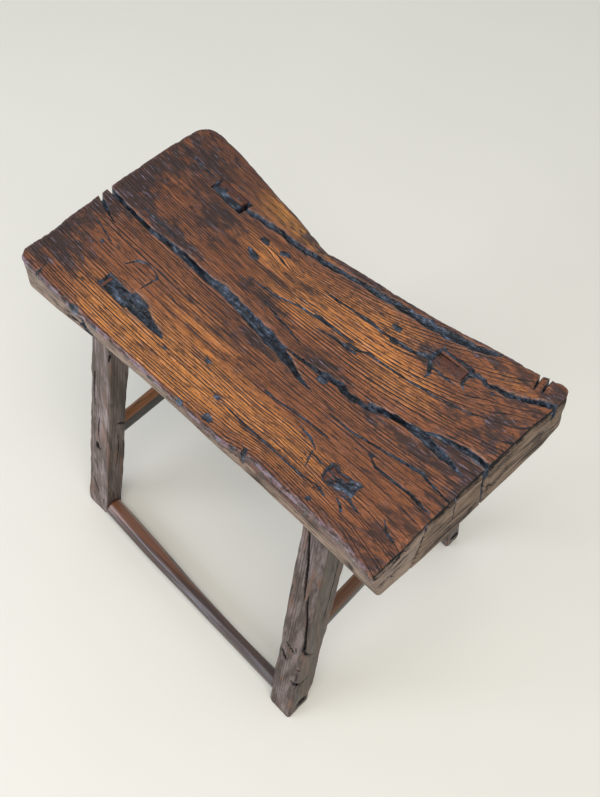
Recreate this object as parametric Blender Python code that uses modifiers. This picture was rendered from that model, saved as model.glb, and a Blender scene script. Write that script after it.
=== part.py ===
"""Rustic oak stool: a dished slab seat on four splayed legs.

The legs run up through the seat as wedged tenons. Two low round stretchers join them along
the stool and two higher flat ones across its ends. X runs along the seat, Y across it, and
the floor is at Z = 0. Front is the -Y long side.
"""
from math import cos, pi, sin

import bmesh
import bpy
from mathutils import Vector

# Seat slab
SEAT_LENGTH = 0.502
SEAT_WIDTH = 0.268
SEAT_HEIGHT = 0.490
SEAT_THICKNESS = 0.050
DISH_DEPTH = 0.029
END_RAKE = 0.013
ARRIS_WEAR = 0.006
WANE_DEPTH = 0.012
ARRIS_ROUND = 0.002
CORNER_ROUND = 0.016

# Legs: how far in from the slab's ends and sides their tenons show, and how far they splay out
LEG_SIZE = 0.037
LEG_ROUND = 0.004
END_MARGIN = 0.100
SIDE_MARGIN = 0.050
SPLAY_LENGTH = 0.036
SPLAY_WIDTH = 0.074
TENON_WIDTH = 0.018
TENON_SINK = 0.004
TENON_ROUND = 0.001

# Wedges and shims that lock the tenons
WEDGE_ROOM = 0.007
WEDGE_FOOT_GAP = 0.0012
WEDGE_SINK = 0.003
WEDGE_TAPER_SHARE = 0.55
KERF_WIDTH = 0.0032
SHIM_ROOM = 0.003

# Stretchers along the stool, round, and across its ends, flat
ROUND_RAIL_GIRTH = 0.024
ROUND_RAIL_HEIGHT = 0.021
ROUND_RAIL_OFFSET = 0.0025
ROUND_TENON_GIRTH = 0.013
ROUND_TENON_SINK = 0.003
FLAT_RAIL_THICKNESS = 0.0155
FLAT_RAIL_DEPTH = 0.032
FLAT_RAIL_HEIGHT = 0.187
FLAT_RAIL_OFFSET = 0.004
STUB_LENGTH = 0.014
STUB_SHRINK = 0.003

# Season splits, gouges and saw cuts in the seat and one leg
SPLIT_WIDTH = 0.012
SPLIT_DEPTH = 0.013

LEG_SPLIT_WIDTH = 0.0026
LEG_SPLIT_DEPTH = 0.007

JOINT_GAP = 0.0003
WELD_DISTANCE = 0.00003
OVERRUN = 0.010
SETTLE_STEPS = 4
RAIL_SIDES = 14

# Plan of the slab: how far each edge stands out, as shares of its half width or half length
FRONT_EDGE_SHARES = ((-1.0, 1.01), (-0.80, 1.0), (-0.55, 0.97), (-0.30, 0.945), (0.0, 0.94),
                     (0.40, 0.935), (0.75, 0.94), (1.0, 0.945))
BACK_EDGE_SHARES = ((-1.0, 0.965), (-0.80, 0.97), (-0.55, 0.95), (-0.40, 0.91), (-0.28, 0.87),
                    (-0.20, 0.825), (-0.12, 0.85), (0.0, 0.88), (0.22, 0.92), (0.42, 0.965),
                    (0.58, 1.0), (0.75, 1.01), (0.90, 1.035), (1.0, 1.055))
LEFT_END_SHARES = ((-1.0, 0.98), (-0.6, 0.985), (0.1, 1.0), (0.6, 0.997), (1.0, 0.985))
RIGHT_END_SHARES = ((-1.0, 0.965), (-0.6, 0.98), (0.0, 0.992), (0.7, 1.001), (1.0, 0.99))
RAKE_SHARES = ((-1.0, 0.6), (-0.5, 0.9), (0.0, 1.0), (0.6, 0.9), (1.0, 0.3))
CORNER_SHARES = {(-1, -1): 0.75, (-1, 1): 1.5, (1, 1): 1.0, (1, -1): 0.3}

# Where the front arris is worn back and where the back arris falls away in a waney bevel
ARRIS_WEAR_SHARES = ((-1.0, 0.0), (0.16, 0.0), (0.30, 1.0), (0.55, 0.8), (0.78, 0.5),
                     (1.0, -1.0))
WANE_SHARES = ((-1.0, 0.0), (-0.80, 0.3), (-0.55, 1.0), (-0.25, 1.0), (-0.08, 0.5), (0.1, 0.35),
               (0.5, 0.3), (0.7, 0.0), (1.0, 0.0))
WANE_START_SHARE = 0.62

# Sharpest bend, as a share of a half turn, that wear leaves alone
ARRIS_ANGLE_SHARE = 0.28

# Cuts across the slab that give its dish and its edges enough points, as shares
STATION_SHARES = (-0.965, -0.885, -0.8, -0.7, -0.6, -0.5, -0.4, -0.3, -0.22, -0.12, -0.03, 0.06,
                  0.16, 0.23, 0.3, 0.4, 0.5, 0.6, 0.7, 0.8, 0.9, 0.955)
STRIP_SHARES = (-0.93, -0.6, -0.2, 0.2, 0.5, 0.62, 0.75, 0.86)

# Each leg: where it stands and where its tenon's centre shows, as shares of the half spans; its
# section under the seat and how far its tenon is set off its middle, as shares of the leg size;
# its tenon's length and width as shares of the section and of the tenon width; the room left in
# the mortise at either end of the tenon and behind it; and how deep the tenon's end is sunk.
LEG_SHARES = {
    "front_left": {
        "foot_shares": (-1.032, -0.908), "tenon_shares": (-1.007, -1.024),
        "section_shares": (0.98, 0.85), "offset_shares": (0.09, 0.07),
        "tenon_size_shares": (0.80, 0.95), "room_shares": (0.8, 0.7),
        "back_room_share": 0.0, "sink_share": 1.0},
    "front_right": {
        "foot_shares": (0.964, -1.0), "tenon_shares": (0.987, -0.952),
        "section_shares": (1.05, 1.03), "offset_shares": (0.04, 0.0),
        "tenon_size_shares": (0.84, 1.05), "room_shares": (0.3, 0.3),
        "back_room_share": 0.0, "sink_share": 0.5},
    "back_left": {
        "foot_shares": (-1.027, 1.011), "tenon_shares": (-1.10, 0.976),
        "section_shares": (1.08, 0.89), "offset_shares": (0.0, 0.0),
        "tenon_size_shares": (0.925, 1.1), "room_shares": (0.15, 0.9),
        "back_room_share": 0.0, "sink_share": 0.25},
    "back_right": {
        "foot_shares": (0.920, 0.980), "tenon_shares": (0.914, 1.036),
        "section_shares": (1.0, 0.90), "offset_shares": (0.0, 0.0),
        "tenon_size_shares": (0.95, 0.75), "room_shares": (0.15, 0.15),
        "back_room_share": 1.0, "sink_share": 0.12},
}

# Hewn swellings and hollows of each leg: height as a share of the shoulder's, then its width
# and depth there as shares of the section
GIRTH_SHARES = {
    "front_left": ((0.0, 1.03, 0.85), (0.012, 1.11, 0.92), (0.12, 1.10, 0.93), (0.35, 1.06, 0.95),
                   (0.60, 0.99, 0.98), (1.0, 1.0, 1.0)),
    "front_right": ((0.0, 0.90, 0.90), (0.02, 0.97, 0.97), (0.06, 0.95, 0.95), (0.13, 1.05, 0.96),
                    (0.20, 1.04, 0.98), (0.28, 0.99, 1.0), (0.60, 1.0, 1.01), (1.0, 1.0, 1.0)),
    "back_left": ((0.0, 0.98, 0.90), (0.012, 1.05, 0.98), (0.20, 1.05, 1.0), (0.55, 1.01, 1.02),
                  (1.0, 1.0, 1.0)),
    "back_right": ((0.0, 0.95, 0.72), (0.02, 1.02, 0.80), (0.25, 1.04, 0.92), (0.60, 1.01, 0.98),
                   (1.0, 1.0, 1.0)),
}

# Girth of each round rail along its free length, and the height of its two ends
ROUND_RAIL_SHARES = {
    "front": {
        "girth_shares": ((0.0, 1.05), (0.12, 1.06), (0.25, 1.04), (0.5, 0.84), (0.75, 0.77), (1.0, 0.82)),
        "height_shares": (0.81, 1.14), "bow_share": -0.11},
    "back": {
        "girth_shares": ((0.0, 0.84), (0.25, 0.92), (0.5, 0.96), (0.75, 0.92), (1.0, 0.86)),
        "height_shares": (0.95, 1.05), "bow_share": 0.08},
}

# Section of a flat rail: rounded top, flat sides, chamfered underside; half of it, from the top
FLAT_SECTION_SHARES = ((0.35, 1.0), (0.85, 0.78), (1.0, 0.45), (1.0, -0.45), (0.50, -1.0))
FLAT_RAIL_SHARES = {
    "left": {
        "girth_shares": ((0.0, 1.01), (0.3, 1.04), (0.7, 1.02), (1.0, 0.98)),
        "height_share": 1.0, "offset_share": -0.4},
    "right": {
        "girth_shares": ((0.0, 1.10), (0.3, 1.09), (0.7, 1.06), (1.0, 1.04)),
        "height_share": 0.95, "offset_share": 1.0},
}

# Splits in the seat, each with a share of the split depth and its stations: place along and
# across as shares of the half length and half width, width as a share of the split width, and
# drop below the top as a share of the seat's thickness
SPLIT_SHARES = {
    "main_split": (1.0, (
        (-1.04, -0.09, 0.45, 0.0), (-0.93, -0.095, 0.50, 0.0), (-0.84, -0.096, 0.50, 0.0),
        (-0.75, -0.10, 0.35, 0.0), (-0.66, -0.078, 0.50, 0.0), (-0.50, -0.055, 0.65, 0.0),
        (-0.33, -0.045, 0.78, 0.0), (-0.20, -0.06, 0.95, 0.0), (-0.03, -0.09, 1.0, 0.0),
        (0.10, -0.13, 0.80, 0.0), (0.18, -0.18, 0.45, 0.0), (0.25, -0.205, 0.10, 0.0))),
    "left_end_split": (1.0, (
        (-1.04, -0.15, 0.50, 0.0), (-0.957, -0.21, 0.45, 0.0), (-0.887, -0.257, 0.30, 0.0),
        (-0.84, -0.27, 0.08, 0.0))),
    "middle_split": (1.0, (
        (0.04, -0.05, 0.15, 0.0), (0.12, -0.045, 0.30, 0.0), (0.24, -0.03, 0.50, 0.0),
        (0.33, -0.035, 0.62, 0.0), (0.42, -0.03, 0.50, 0.0), (0.50, -0.015, 0.12, 0.0))),
    "right_split": (1.0, (
        (0.45, 0.01, 0.15, 0.0), (0.52, 0.035, 0.45, 0.0), (0.60, 0.05, 0.60, 0.0),
        (0.70, 0.045, 0.60, 0.0), (0.80, 0.015, 0.55, 0.0), (0.91, -0.03, 0.12, 0.0))),
    "end_split": (1.0, (
        (0.62, 0.07, 0.12, 0.0), (0.73, 0.125, 0.25, 0.0), (0.85, 0.155, 0.45, 0.0),
        (0.95, 0.14, 0.55, 0.02), (0.965, 0.09, 0.45, 0.34), (0.985, 0.05, 0.30, 0.68),
        (1.0, 0.0, 0.15, 0.95))),
    "corner_split": (1.0, (
        (0.66, 0.73, 0.20, 0.0), (0.74, 0.72, 0.40, 0.0), (0.82, 0.75, 0.50, 0.0),
        (0.90, 0.81, 0.50, 0.0), (0.975, 0.845, 0.50, 0.02), (1.0, 0.85, 0.40, 0.25))),
    "back_gouge": (0.8, (
        (-0.59, 0.60, 0.20, 0.0), (-0.45, 0.635, 0.40, 0.0), (-0.28, 0.675, 0.52, 0.0),
        (-0.14, 0.72, 0.52, 0.0), (0.0, 0.77, 0.42, 0.0), (0.18, 0.815, 0.48, 0.0),
        (0.38, 0.85, 0.42, 0.0), (0.55, 0.90, 0.35, 0.0), (0.67, 0.965, 0.15, 0.0))),
    "tenon_gouge": (0.35, (
        (-0.54, -0.63, 1.20, 0.0), (-0.47, -0.625, 1.45, 0.0), (-0.41, -0.64, 1.10, 0.0),
        (-0.35, -0.655, 0.60, 0.0), (-0.31, -0.665, 0.10, 0.0))),
    "front_notch": (1.0, (
        (0.20, -0.99, 0.30, 0.0), (0.235, -0.93, 0.85, 0.0), (0.27, -0.92, 0.80, 0.0),
        (0.29, -0.97, 0.20, 0.0))),
    "back_slot_a": (1.0, ((0.835, 1.10, 0.26, 0.0), (0.85, 0.87, 0.20, 0.0))),
    "back_slot_b": (1.0, ((0.875, 1.12, 0.26, 0.0), (0.885, 0.88, 0.20, 0.0))),
}
ROOT_WIDTH_SHARE = 0.08

# Long crack down the front face of the front right leg: height as a share of the shoulder's,
# place across the face and width as shares
LEG_SPLIT_SHARES = ((0.34, 0.42, 0.3), (0.37, 0.43, 1.0), (0.46, 0.41, 0.7), (0.55, 0.32, 1.0),
                    (0.64, 0.16, 0.8), (0.78, 0.01, 1.0), (0.90, -0.09, 0.7), (0.96, -0.15, 0.3))

# Colour, roughness and metallic value of each finish
WAXED_TOP = ((0.19, 0.065, 0.016), 0.38, 0.0)
AGED_LEG = ((0.115, 0.075, 0.05), 0.70, 0.0)
RUBBED_RAIL = ((0.09, 0.04, 0.022), 0.35, 0.0)
DARK_WEDGE = ((0.06, 0.035, 0.022), 0.60, 0.0)

HALF_LENGTH = SEAT_LENGTH / 2
HALF_WIDTH = SEAT_WIDTH / 2
UNDERSIDE = SEAT_HEIGHT - SEAT_THICKNESS
SHOULDER = UNDERSIDE - JOINT_GAP
TENON_HALF_SPANS = (HALF_LENGTH - END_MARGIN, HALF_WIDTH - SIDE_MARGIN)
FOOT_HALF_SPANS = (TENON_HALF_SPANS[0] + SPLAY_LENGTH, TENON_HALF_SPANS[1] + SPLAY_WIDTH)


def clear_scene():
    for item in list(bpy.data.objects):
        bpy.data.objects.remove(item, do_unlink=True)


def new_collection(name):
    group = bpy.data.collections.new(name)
    bpy.context.scene.collection.children.link(group)
    return group


def read_share(table, place):
    """Straight-line reading of a table of (place, share) pairs."""
    if place <= table[0][0]:
        return table[0][1]
    for (low, first), (high, last) in zip(table, table[1:]):
        if place <= high:
            return first + (last - first) * (place - low) / (high - low)
    return table[-1][1]


def finish(name, look):
    colour, roughness, metallic = look
    material = bpy.data.materials.new(name)
    material.use_nodes = True
    shader = material.node_tree.nodes["Principled BSDF"]
    shader.inputs["Base Color"].default_value = (*colour, 1.0)
    shader.inputs["Roughness"].default_value = roughness
    shader.inputs["Metallic"].default_value = metallic
    return material


def add_object(name, bm, group, material=None):
    """Closes a bmesh into an object whose faces point out."""
    bmesh.ops.recalc_face_normals(bm, faces=bm.faces)
    mesh = bpy.data.meshes.new(name)
    bm.to_mesh(mesh)
    bm.free()
    item = bpy.data.objects.new(name, mesh)
    group.objects.link(item)
    if material:
        mesh.materials.append(material)
    return item


def loft(name, rings, group, material=None):
    """Skins a row of rings that have the same number of points, and caps both ends."""
    bm = bmesh.new()
    rows = [[bm.verts.new(point) for point in ring] for ring in rings]
    bm.faces.new(rows[0])
    bm.faces.new(rows[-1])
    for low, high in zip(rows, rows[1:]):
        for a, b, c, d in zip(low, low[1:] + low[:1], high[1:] + high[:1], high):
            bm.faces.new((a, b, c, d))
    return add_object(name, bm, group, material)


def make_cutter(item):
    item.hide_render = True
    item.display_type = "WIRE"
    return item


def cut(target, cutter):
    step = target.modifiers.new("Cut " + cutter.name, "BOOLEAN")
    step.operation = "DIFFERENCE"
    step.solver = "EXACT"
    step.object = make_cutter(cutter)


def rounded_outline(width, depth, radius, steps=2):
    """Corner points of a rounded rectangle, anticlockwise from its right side."""
    points = []
    for quarter, (side_x, side_y) in enumerate(((1, 1), (-1, 1), (-1, -1), (1, -1))):
        centre = Vector((side_x * (width / 2 - radius), side_y * (depth / 2 - radius)))
        for step in range(steps + 1):
            angle = (quarter + step / steps) * pi / 2
            points.append(centre + radius * Vector((cos(angle), sin(angle))))
    return points


def top_height(x, y):
    """Height of the dished top: highest at the ends, with the waney bevel along the back."""
    along = min(abs(x) / HALF_LENGTH, 1.0)
    across = y / HALF_WIDTH
    bevel = max(across - WANE_START_SHARE, 0.0) / (1.0 - WANE_START_SHARE)
    wane = WANE_DEPTH * bevel * read_share(WANE_SHARES, x / HALF_LENGTH)
    return SEAT_HEIGHT - DISH_DEPTH * (1.0 - along ** 2) - wane


def shape_seat_point(point):
    """Moves a point of the plain slab to its place on the hewn one."""
    along, across = point.x / HALF_LENGTH, point.y / HALF_WIDTH
    height = (point.z - UNDERSIDE) / SEAT_THICKNESS
    edge = read_share(BACK_EDGE_SHARES if across > 0 else FRONT_EDGE_SHARES, along)
    end = read_share(RIGHT_END_SHARES if along > 0 else LEFT_END_SHARES, across)
    rake = END_RAKE * read_share(RAKE_SHARES, across)
    x = point.x * end - rake * height * max(along, 0.0) ** 3
    y = point.y * edge
    if across < 0:
        y += ARRIS_WEAR * height * read_share(ARRIS_WEAR_SHARES, along) * abs(across) ** 2
    z = UNDERSIDE + height * (top_height(x, y) - UNDERSIDE)
    return Vector((x, y, z))


def build_seat(group, material):
    """A sawn board with rounded corners, cut into stations and shaped to the dish and edges."""
    bm = bmesh.new()
    bmesh.ops.create_cube(bm, size=1.0)
    bmesh.ops.scale(bm, vec=(SEAT_LENGTH, SEAT_WIDTH, SEAT_THICKNESS), verts=bm.verts)
    bmesh.ops.translate(bm, vec=(0, 0, UNDERSIDE + SEAT_THICKNESS / 2), verts=bm.verts)
    for (side_x, side_y), share in CORNER_SHARES.items():
        upright = [edge for edge in bm.edges
                   if all(v.co.x * side_x > 0 and v.co.y * side_y > 0 for v in edge.verts)]
        bmesh.ops.bevel(bm, geom=upright, offset=CORNER_ROUND * share, segments=3, profile=0.5,
                        affect="EDGES", offset_type="OFFSET", material=-1)
    for share in STATION_SHARES:
        bmesh.ops.bisect_plane(bm, geom=bm.verts[:] + bm.edges[:] + bm.faces[:],
                               plane_co=(share * HALF_LENGTH, 0, 0), plane_no=(1, 0, 0))
    for share in STRIP_SHARES:
        bmesh.ops.bisect_plane(bm, geom=bm.verts[:] + bm.edges[:] + bm.faces[:],
                               plane_co=(0, share * HALF_WIDTH, 0), plane_no=(0, 1, 0))
    for vert in bm.verts:
        vert.co = shape_seat_point(vert.co)
    seat = add_object("seat", bm, group, material)
    arris = seat.modifiers.new("Worn arris", "BEVEL")
    arris.width = ARRIS_ROUND
    arris.segments = 2
    arris.limit_method = "ANGLE"
    arris.angle_limit = pi * ARRIS_ANGLE_SHARE
    arris.loop_slide = False
    return seat


def split_cutter(name, depth, stations, group):
    """A tapering spindle laid in the seat's top along one split, deeper than it is wide."""
    curve = bpy.data.curves.new(name, "CURVE")
    curve.dimensions = "3D"
    curve.bevel_depth = 1.0
    curve.bevel_resolution = 0
    curve.use_fill_caps = True
    line = curve.splines.new("POLY")
    line.points.add(len(stations) - 1)
    for point, (along, across, width, drop) in zip(line.points, stations):
        x, y = along * HALF_LENGTH, across * HALF_WIDTH
        point.co = (x, y, top_height(x, y), 1.0)
        point.radius = max(width, ROOT_WIDTH_SHARE) * SPLIT_WIDTH / 2
    guide = bpy.data.objects.new(name + "_guide", curve)
    group.objects.link(guide)
    solid = bpy.data.meshes.new_from_object(guide.evaluated_get(bpy.context.evaluated_depsgraph_get()))
    bm = bmesh.new()
    bm.from_mesh(solid)
    bmesh.ops.remove_doubles(bm, verts=bm.verts, dist=WELD_DISTANCE)
    stretch = 2 * depth * SPLIT_DEPTH / SPLIT_WIDTH
    drops = [(along * HALF_LENGTH, drop * SEAT_THICKNESS) for along, _, _, drop in stations]
    for vert in bm.verts:
        surface = top_height(vert.co.x, vert.co.y)
        height = vert.co.z - surface
        vert.co.z = surface + height * (stretch if height < 0 else 1.0)
        vert.co.z -= read_share(drops, vert.co.x)
    bpy.data.objects.remove(guide, do_unlink=True)
    bpy.data.meshes.remove(solid)
    return make_cutter(add_object(name, bm, group))


class Leg:
    """Sizes and places of one leg, worked out from the slab, the splay and the leg size."""

    def __init__(self, name):
        shares = LEG_SHARES[name]
        self.name = name
        self.foot = (Vector(shares["foot_shares"]) * Vector(FOOT_HALF_SPANS)).to_3d()
        tenon_x, tenon_y = Vector(shares["tenon_shares"]) * Vector(TENON_HALF_SPANS)
        self.head = Vector((tenon_x, tenon_y, top_height(tenon_x, tenon_y)))
        offset = Vector(shares["offset_shares"]).to_3d() * LEG_SIZE
        self.shaft_top = self.tenon_centre(SHOULDER) - offset
        self.width = shares["section_shares"][0] * LEG_SIZE
        self.depth = shares["section_shares"][1] * LEG_SIZE
        self.tenon_length = shares["tenon_size_shares"][0] * self.width
        self.tenon_width = shares["tenon_size_shares"][1] * TENON_WIDTH
        self.room = [share * WEDGE_ROOM for share in shares["room_shares"]]
        self.back_room = shares["back_room_share"] * SHIM_ROOM
        self.sink = shares["sink_share"] * TENON_SINK

    def centre(self, z):
        """Middle of the shaft at a height."""
        return self.foot.lerp(self.shaft_top, z / SHOULDER)

    def tenon_centre(self, z):
        """Middle of the tenon at a height, on the slope from the foot to the tenon's end."""
        return self.foot.lerp(self.head, z / self.head.z)

    def half_size(self, z):
        """Half the shaft's width and depth at a height."""
        rows = GIRTH_SHARES[self.name]
        width = read_share([(row[0], row[1]) for row in rows], z / SHOULDER)
        depth = read_share([(row[0], row[2]) for row in rows], z / SHOULDER)
        return self.width * width / 2, self.depth * depth / 2

    def shaft_ring(self, z):
        half_width, half_depth = self.half_size(z)
        outline = rounded_outline(2 * half_width, 2 * half_depth, LEG_ROUND)
        return [self.centre(z) + point.to_3d() for point in outline]

    def tenon_outline(self):
        return [point.to_3d() for point in
                rounded_outline(self.tenon_length, self.tenon_width, TENON_ROUND)]

    def crown(self):
        """Outline of the tenon's end, carried up its slope to just below the seat's top."""
        points = []
        for corner in self.tenon_outline():
            place = self.head + corner
            for _ in range(SETTLE_STEPS):
                z = top_height(place.x, place.y) - self.sink
                place = self.tenon_centre(z) + corner
            points.append(place)
        return points

    def block(self, z, x_from, x_to, y_from, y_to):
        """Four corners, level, at offsets from the tenon's middle at a height."""
        corners = ((x_from, y_from), (x_to, y_from), (x_to, y_to), (x_from, y_to))
        return [self.tenon_centre(z) + Vector((x, y, 0)) for x, y in corners]

    def inner_x(self, z, clearance):
        """Place of the face that looks along the stool, with a clearance off it."""
        side = -1 if self.foot.x > 0 else 1
        return self.centre(z).x + side * (self.half_size(z)[0] + clearance)

    def outer_x(self, z, clearance):
        side = 1 if self.foot.x > 0 else -1
        return self.centre(z).x + side * (self.half_size(z)[0] + clearance)

    def inner_y(self, z, clearance):
        """Place of the face that looks across the stool, with a clearance off it."""
        side = -1 if self.foot.y > 0 else 1
        return self.centre(z).y + side * (self.half_size(z)[1] + clearance)


def build_leg(leg, group, material):
    """Hewn shaft, shoulder under the seat, and the tenon that follows the top of the dish."""
    rings = [leg.shaft_ring(row[0] * SHOULDER) for row in GIRTH_SHARES[leg.name]]
    rings.append([leg.tenon_centre(SHOULDER) + point for point in leg.tenon_outline()])
    rings.append(leg.crown())
    return loft("leg_" + leg.name, rings, group, material)


def leg_split_cutter(leg, group):
    """Three-sided sliver that opens a drying crack in the leg's front face."""
    rings = []
    for share, across, width in LEG_SPLIT_SHARES:
        z = share * SHOULDER
        half_width, half_depth = leg.half_size(z)
        middle = leg.centre(z) + Vector((2 * across * half_width, -half_depth, 0))
        side = Vector((width * LEG_SPLIT_WIDTH / 2, 0, 0))
        mouth = Vector((0, -JOINT_GAP, 0))
        rings.append([middle + mouth - side, middle + mouth + side,
                      middle + Vector((0, LEG_SPLIT_DEPTH, 0))])
    return loft("crack_" + leg.name, rings, group)


def mortise_cutter(leg, group):
    """Slanting mortise: the tenon's own outline with the gap and the room left for wedges."""
    x_from = -(leg.tenon_length / 2 + JOINT_GAP + leg.room[0])
    x_to = leg.tenon_length / 2 + JOINT_GAP + leg.room[1]
    y_from = -(leg.tenon_width / 2 + JOINT_GAP)
    y_to = leg.tenon_width / 2 + JOINT_GAP + leg.back_room
    heights = (UNDERSIDE - OVERRUN, SEAT_HEIGHT + OVERRUN)
    rings = [leg.block(z, x_from, x_to, y_from, y_to) for z in heights]
    return loft("mortise_" + leg.name, rings, group)


def wedge_heights(leg):
    """Foot of a wedge, just above the slab's underside, and its top, just below the tenon's."""
    return UNDERSIDE + WEDGE_FOOT_GAP, leg.head.z - leg.sink - WEDGE_SINK


def build_end_wedge(leg, group, material):
    """Wedge driven between the tenon's outer end and the end wall of its mortise."""
    half = leg.tenon_width / 2 - JOINT_GAP
    wall = -(leg.tenon_length / 2 + leg.room[0])
    thick = leg.room[0] - JOINT_GAP
    low, high = wedge_heights(leg)
    rings = [leg.block(low, wall, wall + thick * WEDGE_TAPER_SHARE, -half, half),
             leg.block(high, wall, wall + thick, -half, half)]
    return loft("wedge_" + leg.name, rings, group, material)


def kerf_rings(leg, grow, length):
    """Narrow wedge shape down the middle of the tenon, along the grain of the seat."""
    low, high = wedge_heights(leg)
    thick = KERF_WIDTH / 2 + grow
    thin = KERF_WIDTH * WEDGE_TAPER_SHARE / 2 + grow
    rise = OVERRUN if grow else 0
    wide = thick + (thick - thin) * rise / (high - low)
    return [leg.block(low - grow, -length, length, -thin, thin),
            leg.block(high + rise, -length, length, -wide, wide)]


def build_kerf_wedge(leg, group, material):
    return loft("wedge_" + leg.name, kerf_rings(leg, 0, leg.tenon_length / 2), group, material)


def kerf_cutter(leg, group):
    length = leg.tenon_length / 2 + OVERRUN
    return loft("kerf_" + leg.name, kerf_rings(leg, JOINT_GAP, length), group)


def build_shim(leg, group, material):
    """Thin oak shim down the back of the tenon."""
    half = leg.tenon_length / 2 - JOINT_GAP
    face = leg.tenon_width / 2 + leg.back_room
    thick = leg.back_room - JOINT_GAP
    low, high = wedge_heights(leg)
    rings = [leg.block(low, -half, half, face - thick * WEDGE_TAPER_SHARE, face),
             leg.block(high, -half, half, face - thick, face)]
    return loft("shim_" + leg.name, rings, group, material)


def circle_ring(x, centre, radius):
    angles = [2 * pi * step / RAIL_SIDES for step in range(RAIL_SIDES)]
    return [Vector((x, centre.y + radius * cos(a), centre.z + radius * sin(a))) for a in angles]


class RoundRail:
    """Low round stretcher between two legs, with a round tenon through each of them."""

    def __init__(self, side, left, right):
        shares = ROUND_RAIL_SHARES[side]
        offset = Vector((0, ROUND_RAIL_OFFSET if left.foot.y > 0 else -ROUND_RAIL_OFFSET, 0))
        low, high = [share * ROUND_RAIL_HEIGHT for share in shares["height_shares"]]
        self.side, self.legs, self.shares = side, (left, right), shares
        self.start = left.centre(low) + offset
        self.stop = right.centre(high) + offset

    def centre(self, x):
        share = (x - self.start.x) / (self.stop.x - self.start.x)
        point = self.start.lerp(self.stop, share)
        point.y += self.shares["bow_share"] * ROUND_RAIL_GIRTH * sin(pi * min(max(share, 0), 1))
        return point

    def level(self, leg):
        return (self.start if leg is self.legs[0] else self.stop).z

    def shoulder_ring(self, leg, radius):
        """Ring that lies on the leg's inner face, whatever its slope."""
        centre = self.centre(leg.inner_x(self.level(leg), JOINT_GAP))
        ring = circle_ring(centre.x, centre, radius)
        for point in ring:
            point.x = leg.inner_x(point.z, JOINT_GAP)
        return ring

    def tenon_end(self, leg, radius):
        x = leg.outer_x(self.level(leg), -ROUND_TENON_SINK)
        return circle_ring(x, self.centre(x), radius)

    def build(self, group, material):
        left, right = self.legs
        tenon = ROUND_TENON_GIRTH / 2
        rings = [self.tenon_end(left, tenon), self.shoulder_ring(left, tenon)]
        start, stop = [leg.inner_x(self.level(leg), JOINT_GAP) for leg in self.legs]
        for share, girth in self.shares["girth_shares"]:
            radius = girth * ROUND_RAIL_GIRTH / 2
            x = start + (stop - start) * share
            if share in (0.0, 1.0):
                rings.append(self.shoulder_ring(left if share == 0.0 else right, radius))
            else:
                rings.append(circle_ring(x, self.centre(x), radius))
        rings += [self.shoulder_ring(right, tenon), self.tenon_end(right, tenon)]
        return loft("stretcher_" + self.side, rings, group, material)

    def hole(self, leg, group):
        radius = ROUND_TENON_GIRTH / 2 + JOINT_GAP
        ends = [face(self.level(leg), OVERRUN) for face in (leg.inner_x, leg.outer_x)]
        rings = [circle_ring(x, self.centre(x), radius) for x in ends]
        return loft("hole_" + self.side + "_" + leg.name, rings, group)


class FlatRail:
    """Higher flat stretcher across one end, with a stub tenon in each leg."""

    def __init__(self, side, front, back):
        shares = FLAT_RAIL_SHARES[side]
        height = shares["height_share"] * FLAT_RAIL_HEIGHT
        side_sign = 1 if front.foot.x > 0 else -1
        outward = side_sign * shares["offset_share"] * FLAT_RAIL_OFFSET
        self.side, self.legs, self.shares = side, (front, back), shares
        self.start = front.centre(height) + Vector((outward, 0, 0))
        self.stop = back.centre(height) + Vector((outward, 0, 0))

    def centre(self, y):
        return self.start.lerp(self.stop, (y - self.start.y) / (self.stop.y - self.start.y))

    def section(self, y, thickness, depth):
        """Section of the rail across its length, from half of its outline."""
        half = [(x * thickness / 2, z * depth / 2) for x, z in FLAT_SECTION_SHARES]
        outline = half + [(-x, z) for x, z in reversed(half)]
        centre = self.centre(y)
        return [Vector((centre.x + x, y, centre.z + z)) for x, z in outline]

    def shoulder_ring(self, leg, thickness, depth):
        ring = self.section(leg.inner_y(self.start.z, JOINT_GAP), thickness, depth)
        for point in ring:
            point.y = leg.inner_y(point.z, JOINT_GAP)
        return ring

    def stub(self, leg, grow, reach):
        """Section of the stub tenon, a reach into the leg from its inner face."""
        y = leg.inner_y(self.start.z, -reach)
        return self.section(y, FLAT_RAIL_THICKNESS - 2 * STUB_SHRINK + 2 * grow,
                            FLAT_RAIL_DEPTH - 2 * STUB_SHRINK + 2 * grow)

    def build(self, group, material):
        front, back = self.legs
        stub_size = (FLAT_RAIL_THICKNESS - 2 * STUB_SHRINK, FLAT_RAIL_DEPTH - 2 * STUB_SHRINK)
        rings = [self.stub(front, 0, STUB_LENGTH), self.shoulder_ring(front, *stub_size)]
        start, stop = front.inner_y(self.start.z, JOINT_GAP), back.inner_y(self.stop.z, JOINT_GAP)
        for share, girth in self.shares["girth_shares"]:
            size = (girth * FLAT_RAIL_THICKNESS, girth * FLAT_RAIL_DEPTH)
            if share in (0.0, 1.0):
                rings.append(self.shoulder_ring(front if share == 0.0 else back, *size))
            else:
                rings.append(self.section(start + (stop - start) * share, *size))
        rings += [self.shoulder_ring(back, *stub_size), self.stub(back, 0, STUB_LENGTH)]
        return loft("stretcher_" + self.side + "_end", rings, group, material)

    def hole(self, leg, group):
        rings = [self.stub(leg, JOINT_GAP, STUB_LENGTH + JOINT_GAP), self.stub(leg, JOINT_GAP, -OVERRUN)]
        return loft("hole_" + self.side + "_" + leg.name, rings, group)


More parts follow.
